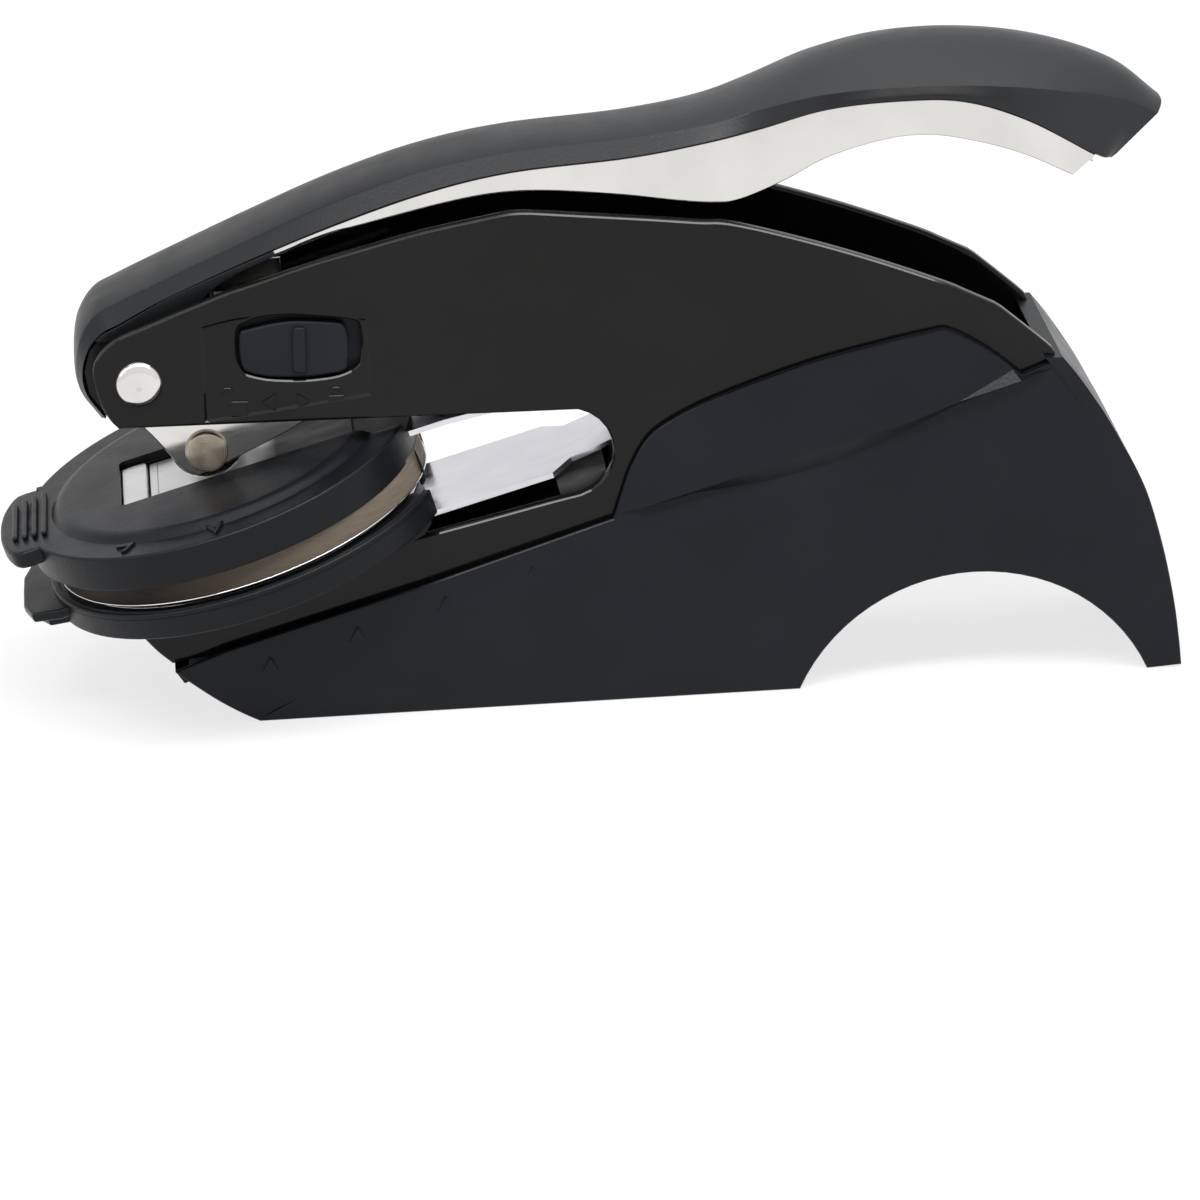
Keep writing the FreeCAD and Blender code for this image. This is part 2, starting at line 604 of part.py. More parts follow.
# Guide block: a fork behind the throat that the lower spring leaf rides in.
guide = place(guide_share)
guide_slot_floor = size("leaf_guide_depth")
half_leaf = size("leaf_width") / 2
guide_local = insert_tilt.inverse().multVec(guide)
half_guide = size("guide_length") / 2
guide_solid = box(guide_local.x - half_guide, guide_local.x + half_guide, -plate_inner, plate_inner,
                  -guide_slot_floor - size("guide_floor"), -guide_slot_floor + size("guide_cheek"))
guide_slot = box(guide_local.x - half_guide - overrun, guide_local.x + half_guide + overrun,
                 -half_leaf - size("leaf_side_gap"), half_leaf + size("leaf_side_gap"),
                 -guide_slot_floor, -guide_slot_floor + size("guide_cheek") + overrun)
add("leaf_guide", guide_solid.cut(guide_slot), insert_frame)

# Main pin through both plates, with washers beside the lever arms.
shaft = round_bar("main_pivot_pin", "shaft", pivot, "Sizes.pivot_pin_radius", -half_plates,
                  "Sizes.plates_width", machine)
near_head = round_bar("main_pivot_pin", "near_head", pivot, "Sizes.pivot_head_radius",
                      -half_plates - size("pivot_head_height"), "Sizes.pivot_head_height", machine)
far_head = round_bar("main_pivot_pin", "far_head", pivot, "Sizes.pivot_head_radius", half_plates,
                     "Sizes.pivot_head_height", machine)
joined("main_pivot_pin", [shaft, near_head, far_head])
washer = rod(pivot, size("pivot_washer_radius"), half_lever + run_gap, plate_inner)
washer = washer.cut(rod(pivot, pin_hole, 0, half_plates))
add("pivot_washers", Part.makeCompound([washer, mirrored(washer)]), machine)
stop_length = "Sizes.plates_width - 2 * Sizes.plate_thickness + 2 * Sizes.stop_pin_seat"
stop_bar = round_bar("lever_stop_pin", "bar", stop_pin, "Sizes.stop_pin_radius",
                     -plate_inner - size("stop_pin_seat"), stop_length, machine)
stop_bar.Label = "lever_stop_pin"

# Lever channel: a folded sheet with two arms that reach down round the pivot to the roller.
stations = []
for lower, crown, crease_rise, swell, foot_width in cover_station_shares:
    stations.append((place(lower), place(crown), crease_rise, swell, foot_width))
seam = [station[0] for station in stations[cover_nose_stations:-1]]
low_edge = places(channel_low_shares)
hump = places(channel_hump_shares)
arm_front = places(arm_front_shares)
arm_throat = places(arm_throat_shares)
lobe = places(arm_lobe_shares)
arm_wire = outline([
    ("round", low_edge),
    ("round", [low_edge[-1]] + hump),
    [place(channel_tip_share)],
    seam[::-1],
    ("arc", arm_front),
    ("round", [arm_front[-1]] + arm_throat),
    ("round", [arm_throat[-1]] + lobe[:3]),
    lobe[2:],
    places(arm_rear_shares),
    places(arm_lock_shares),
])
arm = slab(arm_wire, -half_lever, -lever_inner)
web_top = seam[2:]
web_wire = outline([web_top, [lowered(point, size("lever_wall")) for point in web_top[::-1]]])
web = slab(web_wire, -half_lever, half_lever)
channel = arm.fuse([mirrored(arm), web])
roller_hole = size("roller_pin_radius") + run_gap
channel = channel.cut([rod(pivot, pin_hole, -half_plates, half_plates),
                       rod(roller_centre, roller_hole, -half_plates, half_plates)])


# Grip cover: sections across the lever from the nose to the tail, joined by ruled faces.
def cover_section(station):
    lower, crown, crease_rise, swell, foot_width = station
    narrow = size("cover_top_width") / 2
    wide = size("grip_width") / 2
    crease_half = narrow + swell * (wide - narrow)
    foot_half = half_cover * foot_width
    crease = lower + (crown - lower) * crease_rise
    shoulder = crease + (crown - crease) * shoulder_rise_share
    points = []
    for side in (-1, 1):
        row = [
            FreeCAD.Vector(lower.x, side * foot_half, lower.z),
            FreeCAD.Vector(crease.x, side * crease_half, crease.z),
            FreeCAD.Vector(shoulder.x, side * crease_half * shoulder_width_share, shoulder.z),
            FreeCAD.Vector(crown.x, side * crease_half * crown_width_share, crown.z),
        ]
        points += row if side < 0 else row[::-1]
    return Part.makePolygon(points + points[:1])


cover = Part.makeLoft([cover_section(station) for station in stations], True, True)
skirt_wire = outline([seam[:3], places(skirt_shares)])
skirt = slab(skirt_wire, -half_cover, -half_lever - fit_gap)
cover = cover.fuse([skirt, mirrored(skirt)])
grip_screws = []
screw_holes = []
for share in screw_place_shares:
    across = share * body_length
    before, after = [pair for pair in zip(seam, seam[1:]) if pair[0].x <= across <= pair[1].x][0]
    along = after - before
    seat = lowered(before + along * ((across - before.x) / along.x), size("lever_wall"))
    upward = FreeCAD.Vector(-along.z, 0, along.x)
    upward.normalize()
    start = seat - upward * size("grip_screw_head_height")
    head = Part.makeCylinder(size("grip_screw_head_radius"), size("grip_screw_head_height"), start, upward)
    reach = size("grip_screw_head_height") + size("grip_screw_length")
    grip_screws.append(head.fuse(Part.makeCylinder(size("grip_screw_radius"), reach, start, upward)))
    screw_holes.append(Part.makeCylinder(size("grip_screw_radius") + run_gap, reach, start, upward))
channel = channel.cut(screw_holes)
cover = cover.cut(screw_holes)
add("lever_channel", channel, machine)
add("grip_cover", cover, machine)
add("grip_screws", Part.makeCompound(grip_screws), machine)

# Press roller on its riveted pin, with a thin washer at each end.
head_height = size("roller_head_height")
pin_shaft = round_bar("roller_pin", "shaft", roller_centre, "Sizes.roller_pin_radius", -half_lever,
                      "Sizes.lever_width", machine)
pin_near = round_bar("roller_pin", "near_head", roller_centre, "Sizes.roller_head_radius",
                     -half_lever - head_height, "Sizes.roller_head_height", machine)
pin_far = round_bar("roller_pin", "far_head", roller_centre, "Sizes.roller_head_radius", half_lever,
                    "Sizes.roller_head_height", machine)
joined("roller_pin", [pin_shaft, pin_near, pin_far])
half_roller = size("roller_width") / 2
roller = rod(roller_centre, size("roller_radius"), -half_roller, half_roller)
add("press_roller", roller.cut(rod(roller_centre, roller_hole, -half_lever, half_lever)), machine)
ring = rod(roller_centre, size("roller_head_radius"), half_roller + run_gap, lever_inner)
ring = ring.cut(rod(roller_centre, roller_hole, -half_lever, half_lever))
add("roller_washers", Part.makeCompound([ring, mirrored(ring)]), machine)

# Lock: a slider seen through the window of the near plate, its tongue behind it, and two guide rails.
button_right = place(button_edge_share).x
margin = size("slider_margin")
flange_low = window_left.z - margin
flange_high = window_right.z + margin
flange_front = window_left.x - size("slider_reach")
flange_rear = button_right + size("slider_reach")
flange = box(flange_front, flange_rear, -plate_inner + run_gap, -plate_inner + size("slider_flange"),
             flange_low, flange_high)
face = -half_plates + size("slider_recess")
button = box(window_left.x, button_right, face, -plate_inner + size("slider_flange"),
             window_left.z + fit_gap, window_right.z - fit_gap)
button = rounded(button, "window_radius")
rib_low, rib_high = places(rib_shares)
rib = box(rib_low.x, rib_high.x, face - size("slider_rib_height"), face, rib_low.z, rib_high.z)
add("lock_slider", flange.fuse([button, rib]), machine)
tongue_low, tongue_high = places(tongue_shares)
tongue_start = -plate_inner + size("slider_flange")
tongue = box(tongue_low.x, tongue_high.x, tongue_start, tongue_start + size("tongue_length"),
             tongue_low.z, tongue_high.z)
add("lock_tongue", tongue, machine)
rails = []
for low in (flange_low - fit_gap - size("rail_height"), flange_high + fit_gap):
    rails.append(box(flange_front, flange_rear + size("lock_travel"), -plate_inner,
                     -plate_inner + size("slider_flange"), low, low + size("rail_height")))
add("lock_guide_rails", Part.makeCompound(rails), machine)

# Lower holder of the insert, with its finger tab and the chrome die plate in its recess.
def finger_tab(low, high):
    # A tab ahead of the holder, cut round about the die axis.
    half_tab = size("tab_width") / 2
    plan = box(-tab_front - overrun, 0, -half_tab, half_tab, low, high)
    return plan.common(disc(tab_front, low, high))


lower_rim = -size("holder_gap")
plate_top = lower_rim - size("lower_plate_drop")
plate_bottom = plate_top - size("lower_plate_thickness")
lower_radius = size("lower_holder_radius")
lower = Part.makeCone(lower_radius, size("lower_holder_rim_radius"), size("lower_holder_height"),
                      FreeCAD.Vector(0, 0, holder_bed))
lower_tab = finger_tab(holder_bed, lower_rim - size("tab_drop"))
tab_edges = [edge for edge in lower_tab.Edges if edge.BoundBox.ZMax < holder_bed + fit_gap
             and edge.BoundBox.XMax < -lower_radius]
lower = lower.fuse(lower_tab.makeChamfer(size("lower_tab_chamfer"), tab_edges))
lower = lower.cut(disc(size("lower_plate_radius") + run_gap, plate_bottom, 0))
rivet_places = [-size("clip_rivet_spacing") / 2, size("clip_rivet_spacing") / 2]
rivet_top = holder_bed + size("clip_rivet_depth")
lower = lower.cut([disc(size("clip_rivet_radius") + run_gap, holder_bed, rivet_top, x) for x in rivet_places])
add("lower_holder", lower, insert_frame)
add("lower_die_plate", disc(size("lower_plate_radius"), plate_bottom, plate_top), insert_frame)


# Spring clip: one steel strip, folded at the rear, with a leaf under the lower holder and a leaf that runs
# into the upper holder.
def ribbon(points, thickness):
    # The strip lies below its upper line, with mitred bends.
    under = []
    for index, point in enumerate(points):
        before = points[max(index - 1, 0)]
        after = points[min(index + 1, len(points) - 1)]
        arriving = (point - before) if index else (after - point)
        leaving = (after - point) if index < len(points) - 1 else arriving
        arriving.normalize()
        leaving.normalize()
        across = FreeCAD.Vector(arriving.z + leaving.z, 0, -arriving.x - leaving.x)
        across.normalize()
        cosine = across.x * leaving.z - across.z * leaving.x
        under.append(point + across * (thickness / cosine))
    return outline([points, under[::-1]])


leaf = size("leaf_thickness")
upper_leaf = upper_rim - size("leaf_drop")
depth = -holder_bed
leaf_points = [FreeCAD.Vector(x * lower_radius, 0, -drop * depth) for x, drop in leaf_low_shares]
fold = leaf_points[-1]
fold_radius = size("fold_radius")
fold_points = []
for step in range(1, fold_steps):
    angle = math.pi * step / fold_steps - math.pi / 2
    fold_points.append(FreeCAD.Vector(fold.x + fold_radius * math.cos(angle), 0,
                                      fold.z + fold_radius * (1 + math.sin(angle))))
upper_points = [
    FreeCAD.Vector(fold.x, 0, fold.z + 2 * fold_radius),
    FreeCAD.Vector(size("upper_holder_radius") + fold_radius, 0, upper_leaf - leaf),
    FreeCAD.Vector(size("strip_rear"), 0, upper_leaf - leaf),
]
clip_wire = ribbon(leaf_points + fold_points + upper_points, leaf)
clip = slab(clip_wire, -half_leaf, half_leaf)
rivet_hole = size("clip_rivet_radius") + run_gap
clip = clip.cut([disc(rivet_hole, holder_bed - 2 * leaf, holder_bed, x) for x in rivet_places])
add("spring_clip", clip, insert_frame)
clip_rivets = []
for x in rivet_places:
    stem = disc(size("clip_rivet_radius"), holder_bed - leaf, rivet_top, x)
    head = disc(size("clip_rivet_head_radius"), holder_bed - leaf - size("clip_rivet_head_height"),
                holder_bed - leaf, x)
    clip_rivets.append(stem.fuse(head))
add("clip_rivets", Part.makeCompound(clip_rivets), insert_frame)

# Upper holder: rim, raised middle, finger tab, an open channel for the pressure strip and a slot for the
# upper leaf.
upper = Part.makeCone(size("upper_holder_radius"), size("upper_holder_top_radius"), upper_rim)
plateau = Part.makeCone(size("plateau_radius") + size("plateau_slope"), size("plateau_radius"),
                        size("plateau_rise"), FreeCAD.Vector(0, 0, upper_rim))
upper = upper.fuse([plateau, finger_tab(size("tab_drop"), upper_rim)])
half_tab = size("tab_width") / 2
rib_step = size("tab_width") / (tab_rib_count + 1)
rib_middle = -size("upper_holder_radius")
rib_reach = size("tab_reach") * rib_reach_share
half_rib = size("tab_rib_width") / 2
ribs = []
for index in range(tab_rib_count):
    y = -half_tab + rib_step * (index + 1)
    ribs.append(box(rib_middle - rib_reach, rib_middle + rib_reach, y - half_rib, y + half_rib,
                    upper_rim, upper_rim + size("tab_rib_height")))
upper = upper.fuse(ribs)
half_channel = size("channel_width") / 2
far = size("upper_holder_top_radius") + overrun
channel_cut = box(-size("channel_front"), far, -half_channel, half_channel, channel_floor,
                  upper_rim + size("plateau_rise") + overrun)
slot_gap = size("leaf_side_gap")
leaf_slot = box(size("strip_rear") - slot_gap, far, -half_leaf - slot_gap, half_leaf + slot_gap,
                upper_leaf - leaf - fit_gap, upper_leaf + fit_gap)
add("upper_holder", upper.cut([channel_cut, leaf_slot]), insert_frame)
counter_low = plate_top + size("paper_gap")
add("counter_die", disc(size("counter_die_radius"), counter_low, 0), insert_frame)
half_strip = size("strip_width") / 2
strip_front = size("channel_front") - fit_gap
strip_step = size("strip_step")
step_end = size("strip_step_length") - strip_front
strip_line = [
    FreeCAD.Vector(-strip_front, 0, strip_top + strip_step),
    FreeCAD.Vector(step_end, 0, strip_top + strip_step),
    FreeCAD.Vector(step_end + strip_step, 0, strip_top),
    FreeCAD.Vector(size("strip_rear"), 0, strip_top),
]
strip = slab(ribbon(strip_line, size("strip_thickness")), -half_strip, half_strip)
add("pressure_strip", strip, insert_frame)


# Return spring: one wire, wound on the main pin, with a leg on the stop pin and a leg under the lever.
def biarc(start, start_way, end, end_way):
    # Two arcs that leave start and reach end in the given directions.
    chord = end - start
    both = start_way + end_way
    square = 2 * (start_way.dot(end_way) - 1)
    linear = -2 * chord.dot(both)
    constant = chord.dot(chord)
    root = math.sqrt(linear * linear - 4 * square * constant)
    arm_length = (-linear - root) / (2 * square)
    first = start + start_way * arm_length
    second = end - end_way * arm_length
    joint = (first + second) / 2
    return [bend(start, first, joint), bend(joint, second, end)]


def bend(start, corner, end):
    # The arc that touches start-corner at start and corner-end at end.
    arriving = corner - start
    leaving = end - corner
    turn = arriving.getAngle(leaving)
    radius = arriving.Length / math.tan(turn / 2)
    inward = (start + end) / 2 - corner
    inward.normalize()
    middle_point = corner + inward * (radius / math.cos(turn / 2) - radius)
    return Part.Arc(start, middle_point, end).toShape()


coil_radius = size("coil_radius")
wire_radius = size("wire_radius")
half_coil = size("coil_pitch") * spring_turns / 2
leg_end = FreeCAD.Vector(stop_pin.x, 0, stop_pin.z + size("stop_pin_radius") + wire_radius + run_gap)
lift_end = place(spring_leg_share)


def tangent_angle(point, side):
    # Where the straight line from the point touches the coil, on the side asked for.
    offset = point - pivot
    return math.atan2(offset.z, offset.x) + side * math.acos(coil_radius / math.hypot(offset.x, offset.z))


start_angle = tangent_angle(leg_end, -1)
end_angle = tangent_angle(lift_end, 1) - 2 * math.pi * (spring_turns + 1)
while start_angle - end_angle > 2 * math.pi * (spring_turns + 1):
    end_angle += 2 * math.pi


def on_coil(angle):
    share = (start_angle - angle) / (start_angle - end_angle)
    y = -half_coil + 2 * half_coil * share
    return pivot + FreeCAD.Vector(coil_radius * math.cos(angle), y, coil_radius * math.sin(angle))


def coil_way(angle, flat):
    rise = 0 if flat else 2 * half_coil / (start_angle - end_angle) / coil_radius
    way = FreeCAD.Vector(math.sin(angle), rise, -math.cos(angle))
    way.normalize()
    return way


halves = 2 * (spring_turns + 1)
start_point = FreeCAD.Vector(leg_end.x, -half_coil, leg_end.z)
edges = [Part.LineSegment(start_point, on_coil(start_angle)).toShape()]
for step in range(halves):
    begin = start_angle + (end_angle - start_angle) * step / halves
    finish = start_angle + (end_angle - start_angle) * (step + 1) / halves
    leaving = coil_way(begin, step == 0)
    arriving = coil_way(finish, step == halves - 1)
    edges += biarc(on_coil(begin), leaving, on_coil(finish), arriving)
lift_point = FreeCAD.Vector(lift_end.x, half_coil, lift_end.z)
edges.append(Part.LineSegment(on_coil(end_angle), lift_point).toShape())
path = Part.Wire(edges)
leg_way = on_coil(start_angle) - start_point
leg_way.normalize()
across_leg = FreeCAD.Vector(0, 1, 0)
above_leg = leg_way.cross(across_leg)
ring_points = []
for index in range(wire_sides):
    angle = 2 * math.pi * index / wire_sides
    spoke = across_leg * math.cos(angle) + above_leg * math.sin(angle)
    ring_points.append(start_point + spoke * wire_radius)
section = Part.makePolygon(ring_points + ring_points[:1])
spring = path.makePipeShell([section], True, False)
wire_points = path.discretize(Distance=wire_radius / 2)
half_turn = int(2 * math.pi * coil_radius / wire_radius)
least = min(first.distanceToPoint(second) for index, first in enumerate(wire_points)
            for second in wire_points[index + half_turn:])
print("return spring least gap to itself", round(least - 2 * wire_radius, 3))
add("lever_return_spring", spring, machine)

# Everything is checked before it is written.
document.recompute()
os.makedirs("parts", exist_ok=True)
nodes = [piece for piece in document.Objects if piece.Label in NODES]
for piece in document.Objects:
    if "Invalid" in piece.State or "Error" in piece.State:
        raise RuntimeError(f"{piece.Name} did not build")
for piece in nodes:
    if piece.Shape.isNull() or not piece.Shape.isValid():
        raise RuntimeError(f"{piece.Label} has no valid shape")
for piece in nodes:
    piece.Shape.exportStep(f"parts/{piece.Label}.step")
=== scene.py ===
import math

import bpy
import bmesh
import numpy as np
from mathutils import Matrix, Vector
from mathutils.geometry import delaunay_2d_cdt


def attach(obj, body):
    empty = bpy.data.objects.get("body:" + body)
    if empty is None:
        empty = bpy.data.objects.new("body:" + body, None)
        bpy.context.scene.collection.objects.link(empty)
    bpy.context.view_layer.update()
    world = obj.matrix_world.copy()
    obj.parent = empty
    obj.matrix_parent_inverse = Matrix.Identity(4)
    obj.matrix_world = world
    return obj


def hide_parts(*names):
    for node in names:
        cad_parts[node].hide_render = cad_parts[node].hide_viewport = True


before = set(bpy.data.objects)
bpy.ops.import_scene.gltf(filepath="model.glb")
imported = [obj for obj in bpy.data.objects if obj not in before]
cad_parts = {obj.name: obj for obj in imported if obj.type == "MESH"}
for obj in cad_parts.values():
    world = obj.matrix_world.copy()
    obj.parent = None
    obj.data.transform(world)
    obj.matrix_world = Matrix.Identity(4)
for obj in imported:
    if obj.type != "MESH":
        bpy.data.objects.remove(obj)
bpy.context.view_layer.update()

# Camera, where the photograph was taken from: a long lens, a little above the embosser and to the left
# of its middle, with a slight roll.
camera = bpy.data.objects.new("Camera", bpy.data.cameras.new("Camera"))
bpy.context.collection.objects.link(camera)
camera.data.sensor_width = 36.0
camera.data.lens = 158.9
camera.data.clip_start = 0.05
camera.data.clip_end = 20.0
camera.location = (-0.060426, -0.690396, 0.304081)
camera.rotation_euler = tuple(math.radians(angle) for angle in (66.957, 1.219, -5.636))
bpy.context.scene.camera = camera
bpy.context.scene.view_settings.view_transform = "Standard"
MIDDLE = 50.08


# Grip cover: one soft, satin black moulding over the whole lever. It wraps round the nose, runs back with a
# flat top between two bevels, and swells into a rounded handle that ends in a blunt tip. A thin skirt hangs
# down on each side behind the nose.
class Tint:
    # A socket of a finish, so that shader sums can be written as sums.
    def __init__(self, nodes, link):
        self.nodes = nodes
        self.link = link

    def sum(self, kind, other):
        return self.nodes.node("ShaderNodeMath", {"operation": kind}, {0: self, 1: other})

    def __add__(self, other):
        return self.sum("ADD", other)

    def __sub__(self, other):
        return self.sum("SUBTRACT", other)

    def __mul__(self, other):
        return self.sum("MULTIPLY", other)

    def __pow__(self, other):
        return self.sum("POWER", other)


class Nodes:
    # The nodes of a material or of the world. Plain values go on a socket, varying ones are linked to it.
    def __init__(self, tree):
        self.tree = tree

    def feed(self, socket, value):
        if isinstance(value, Tint):
            self.tree.links.new(value.link, socket)
        elif socket.type == "RGBA" and len(value) == 3:
            socket.default_value = (*value, 1.0)
        else:
            socket.default_value = value

    def node(self, kind, settings, inputs, output=0):
        made = self.tree.nodes.new(kind)
        for name, value in settings.items():
            setattr(made, name, value)
        for name, value in inputs.items():
            self.feed(made.inputs[name], value)
        return Tint(self, made.outputs[output])


class Surface(Nodes):
    # A material with one principled shader.
    def __init__(self, name, slot, **values):
        self.slot = slot
        self.material = bpy.data.materials.new(name)
        self.material.use_nodes = True
        super().__init__(self.material.node_tree)
        self.shader = self.tree.nodes["Principled BSDF"]
        self.set(**values)

    def set(self, **values):
        for name, value in values.items():
            self.feed(self.shader.inputs[name.replace("_", " ").title().replace("Ior", "IOR")], value)

    def place(self, stretch=(1.0, 1.0, 1.0), turn=0.0):
        here = self.node("ShaderNodeTexCoord", {}, {}, "Object")
        return self.node("ShaderNodeMapping", {}, {"Vector": here, "Scale": stretch, "Rotation": (0.0, turn, 0.0)})

    def axis(self, name):
        return self.node("ShaderNodeSeparateXYZ", {}, {"Vector": self.place()}, name)

    def noise(self, scale, detail=3.0, stretch=(1.0, 1.0, 1.0), turn=0.0):
        values = {"Vector": self.place(stretch, turn), "Scale": scale, "Detail": detail}
        return self.node("ShaderNodeTexNoise", {}, values)

    def blend(self, low, high, share):
        made = self.tree.nodes.new("ShaderNodeMix")
        made.data_type = "RGBA"
        for index, value in ((0, share), (6, low), (7, high)):
            self.feed(made.inputs[index], value)
        return Tint(self, made.outputs[2])

    def spread(self, value, low, high, start=0.3, stop=0.7):
        values = {"Value": value, "From Min": start, "From Max": stop, "To Min": low, "To Max": high}
        return self.node("ShaderNodeMapRange", {}, values)

    def bump(self, height, depth, strength=1.0):
        return self.node("ShaderNodeBump", {}, {"Strength": strength, "Distance": depth, "Height": height})

    def on(self, thing):
        if not thing.material_slots:
            thing.data.materials.append(self.material)
        for slot in thing.material_slots:
            slot.material = self.material


def grained(name, slot, colour, lighter, roughness, grain, depth, **values):
    # Moulded plastic or paint: a fine grain, slightly uneven gloss and a faint change of colour.
    surface = Surface(name, slot, **values)
    cloudy = surface.spread(surface.noise(60.0, 2.0), 0.0, 1.0)
    surface.set(base_color=surface.blend(colour, lighter, cloudy))
    surface.set(roughness=surface.spread(surface.noise(220.0, 4.0), roughness - 0.05, roughness + 0.05))
    surface.set(normal=surface.bump(surface.noise(grain, 2.0), depth))
    return surface


def spot(x, y, z):
    # Millimetres behind the die axis, across and above the table.
    return Vector(((x - MIDDLE) / 1000, y / 1000, z / 1000))


def through(values, steps):
    # A smooth line through rows of values, with the same number of steps between each two.
    rows = np.array(values, float)
    ends = np.vstack([2 * rows[0] - rows[1], rows, 2 * rows[-1] - rows[-2]])
    out = []
    for index in range(1, len(ends) - 2):
        a, b, c, d = ends[index - 1:index + 3]
        for step in range(steps):
            s = step / steps
            out.append(0.5 * (2 * b + (c - a) * s + (2 * a - 5 * b + 4 * c - d) * s * s
                              + (3 * b - a - 3 * c + d) * s ** 3))
    out.append(rows[-1])
    return np.array(out)


def curve(points, steps=5):
    return [tuple(point) for point in through(points, steps)]


def piece(name, verts, faces, body, surface, *nodes, smooth=35.0, creases=()):
    # A mesh with soft flat shading. Edges that lie on one of the crease lines stay sharp.
    mesh = bpy.data.meshes.new(name)
    work = bmesh.new()
    made = [work.verts.new(vert) for vert in verts]
    for face in faces:
        if len(set(face)) > 2:
            work.faces.new([made[index] for index in dict.fromkeys(face)])
    bmesh.ops.remove_doubles(work, verts=work.verts, dist=2e-6)
    bmesh.ops.recalc_face_normals(work, faces=work.faces)
    marks = [np.array([tuple(spot(x, 0, z)) for x, z in line])[:, [0, 2]] for line in creases]
    for face in work.faces:
        face.smooth = True
    for edge in work.edges:
        sharp = edge.calc_face_angle(0.0) > math.radians(smooth)
        if not sharp and marks:
            ends = [np.array((vert.co.x, vert.co.z)) for vert in edge.verts]
            sharp = any(all(away(end, line) < 5e-6 for end in ends) for line in marks)
        edge.smooth = not sharp
    work.to_mesh(mesh)
    work.free()
    thing = bpy.data.objects.new(name, mesh)
    bpy.context.collection.objects.link(thing)
    even = thing.modifiers.new("even", "WEIGHTED_NORMAL")
    even.keep_sharp = True
    surface.on(thing)
    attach(thing, body)
    if nodes:
        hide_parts(*nodes)
    return thing


def away(point, line):
    # Distance of a point from a line of straight stretches.
    least = 1.0
    for start, end in zip(line, line[1:]):
        along = end - start
        share = min(1.0, max(0.0, float(np.dot(point - start, along) / np.dot(along, along))))
        least = min(least, float(np.linalg.norm(point - start - share * along)))
    return least


def tube_faces(rings, count, closed=True):
    # Quads between rings of points, with an end face on the first and last ring.
    faces = []
    for ring in range(rings - 1):
        for index in range(count):
            following = (index + 1) % count
            faces.append((ring * count + index, ring * count + following,
                          (ring + 1) * count + following, (ring + 1) * count + index))
    if closed:
        faces.append(tuple(range(count - 1, -1, -1)))
        faces.append(tuple((rings - 1) * count + index for index in range(count)))
    return faces


def turned(loop, material_left=True):
    # The loop with its material on its left, doubled points left out.
    points = [tuple(map(float, point)) for point in loop]
    points = [point for index, point in enumerate(points) if math.dist(point, points[index - 1]) > 1e-4]
    area = sum(a[0] * b[1] - b[0] * a[1] for a, b in zip(points, points[1:] + points[:1]))
    return points if (area > 0) == material_left else points[::-1]


def moved_in(loop, reach):
    # The loop moved to its left.
    points = np.array(loop, float)
    arriving = points - np.roll(points, 1, axis=0)
    leaving = np.roll(arriving, -1, axis=0)
    normals = []
    for way in (arriving, leaving):
        way = way / np.linalg.norm(way, axis=1, keepdims=True)
        normals.append(np.stack([-way[:, 1], way[:, 0]], 1))
    middle = normals[0] + normals[1]
    middle /= np.maximum(np.linalg.norm(middle, axis=1, keepdims=True), 1e-6)
    lean = np.clip((middle * normals[0]).sum(1), 0.5, 1.0)
    return points + middle * (reach / lean)[:, None]


def inside(point, loop):
    x, z = point
    odd = False
    for (ax, az), (bx, bz) in zip(loop, np.roll(loop, -1, axis=0)):
        if (az > z) != (bz > z) and x < (bx - ax) * (z - az) / (bz - az) + ax:
            odd = not odd
    return odd


def sheet(name, outline, near, far, body, surface, *nodes, holes=(), lines=(), edge=0.3, steps=3, at=spot, **more):
    # A flat or slightly shaped plate seen from the side, with rounded edges and holes. near and far are
    # heights across the machine, or give one for each point. Lines are creases in the near side. The edge
    # is how far the rounding reaches, or one for each side.
    sides = [value if callable(value) else (lambda x, z, level=value: level) for value in (near, far)]
    reaches = edge if isinstance(edge, tuple) else (edge, edge)
    loops = [turned(outline)] + [turned(hole, False) for hole in holes]
    verts, faces = [], []
    caps = ([], [])
    for loop in loops:
        starts = []
        for side, sign in ((0, 1), (1, -1)):
            reach = reaches[side]
            turns = [math.pi / 2 * step / steps for step in range(steps + 1)] if reach else [0.0]
            caps[side].append(moved_in(loop, reach))
            for angle in turns[::sign]:
                ring = moved_in(loop, reach * (1 - math.sin(angle)))
                starts.append(len(verts))
                depth = sign * reach * (1 - math.cos(angle))
                verts += [at(x, sides[side](ox, oz) + depth, z) for (x, z), (ox, oz) in zip(ring, loop)]
        for first, second in zip(starts, starts[1:]):
            for index in range(len(loop)):
                following = (index + 1) % len(loop)
                faces.append((first + index, first + following, second + following, second + index))
    for side in (0, 1):
        flat, edges = [], []
        for ring in caps[side]:
            start = len(flat)
            flat += [Vector(point) for point in ring]
            edges += [(start + index, start + (index + 1) % len(ring)) for index in range(len(ring))]
        for line in lines if side == 0 else ():
            start = len(flat)
            flat += [Vector(point) for point in line]
            edges += [(start + index, start + index + 1) for index in range(len(line) - 1)]
        points, _, triangles, *_ = delaunay_2d_cdt(flat, edges, [], 0, 1e-5)
        start = len(verts)
        verts += [at(x, sides[side](x, z), z) for x, z in points]
        for triangle in triangles:
            centre = sum((points[index] for index in triangle), Vector((0.0, 0.0))) / 3
            if inside(centre, caps[side][0]) and not any(inside(centre, ring) for ring in caps[side][1:]):
                faces.append(tuple(start + index for index in triangle))
    return piece(name, verts, faces, body, surface, *nodes, creases=lines, **more)


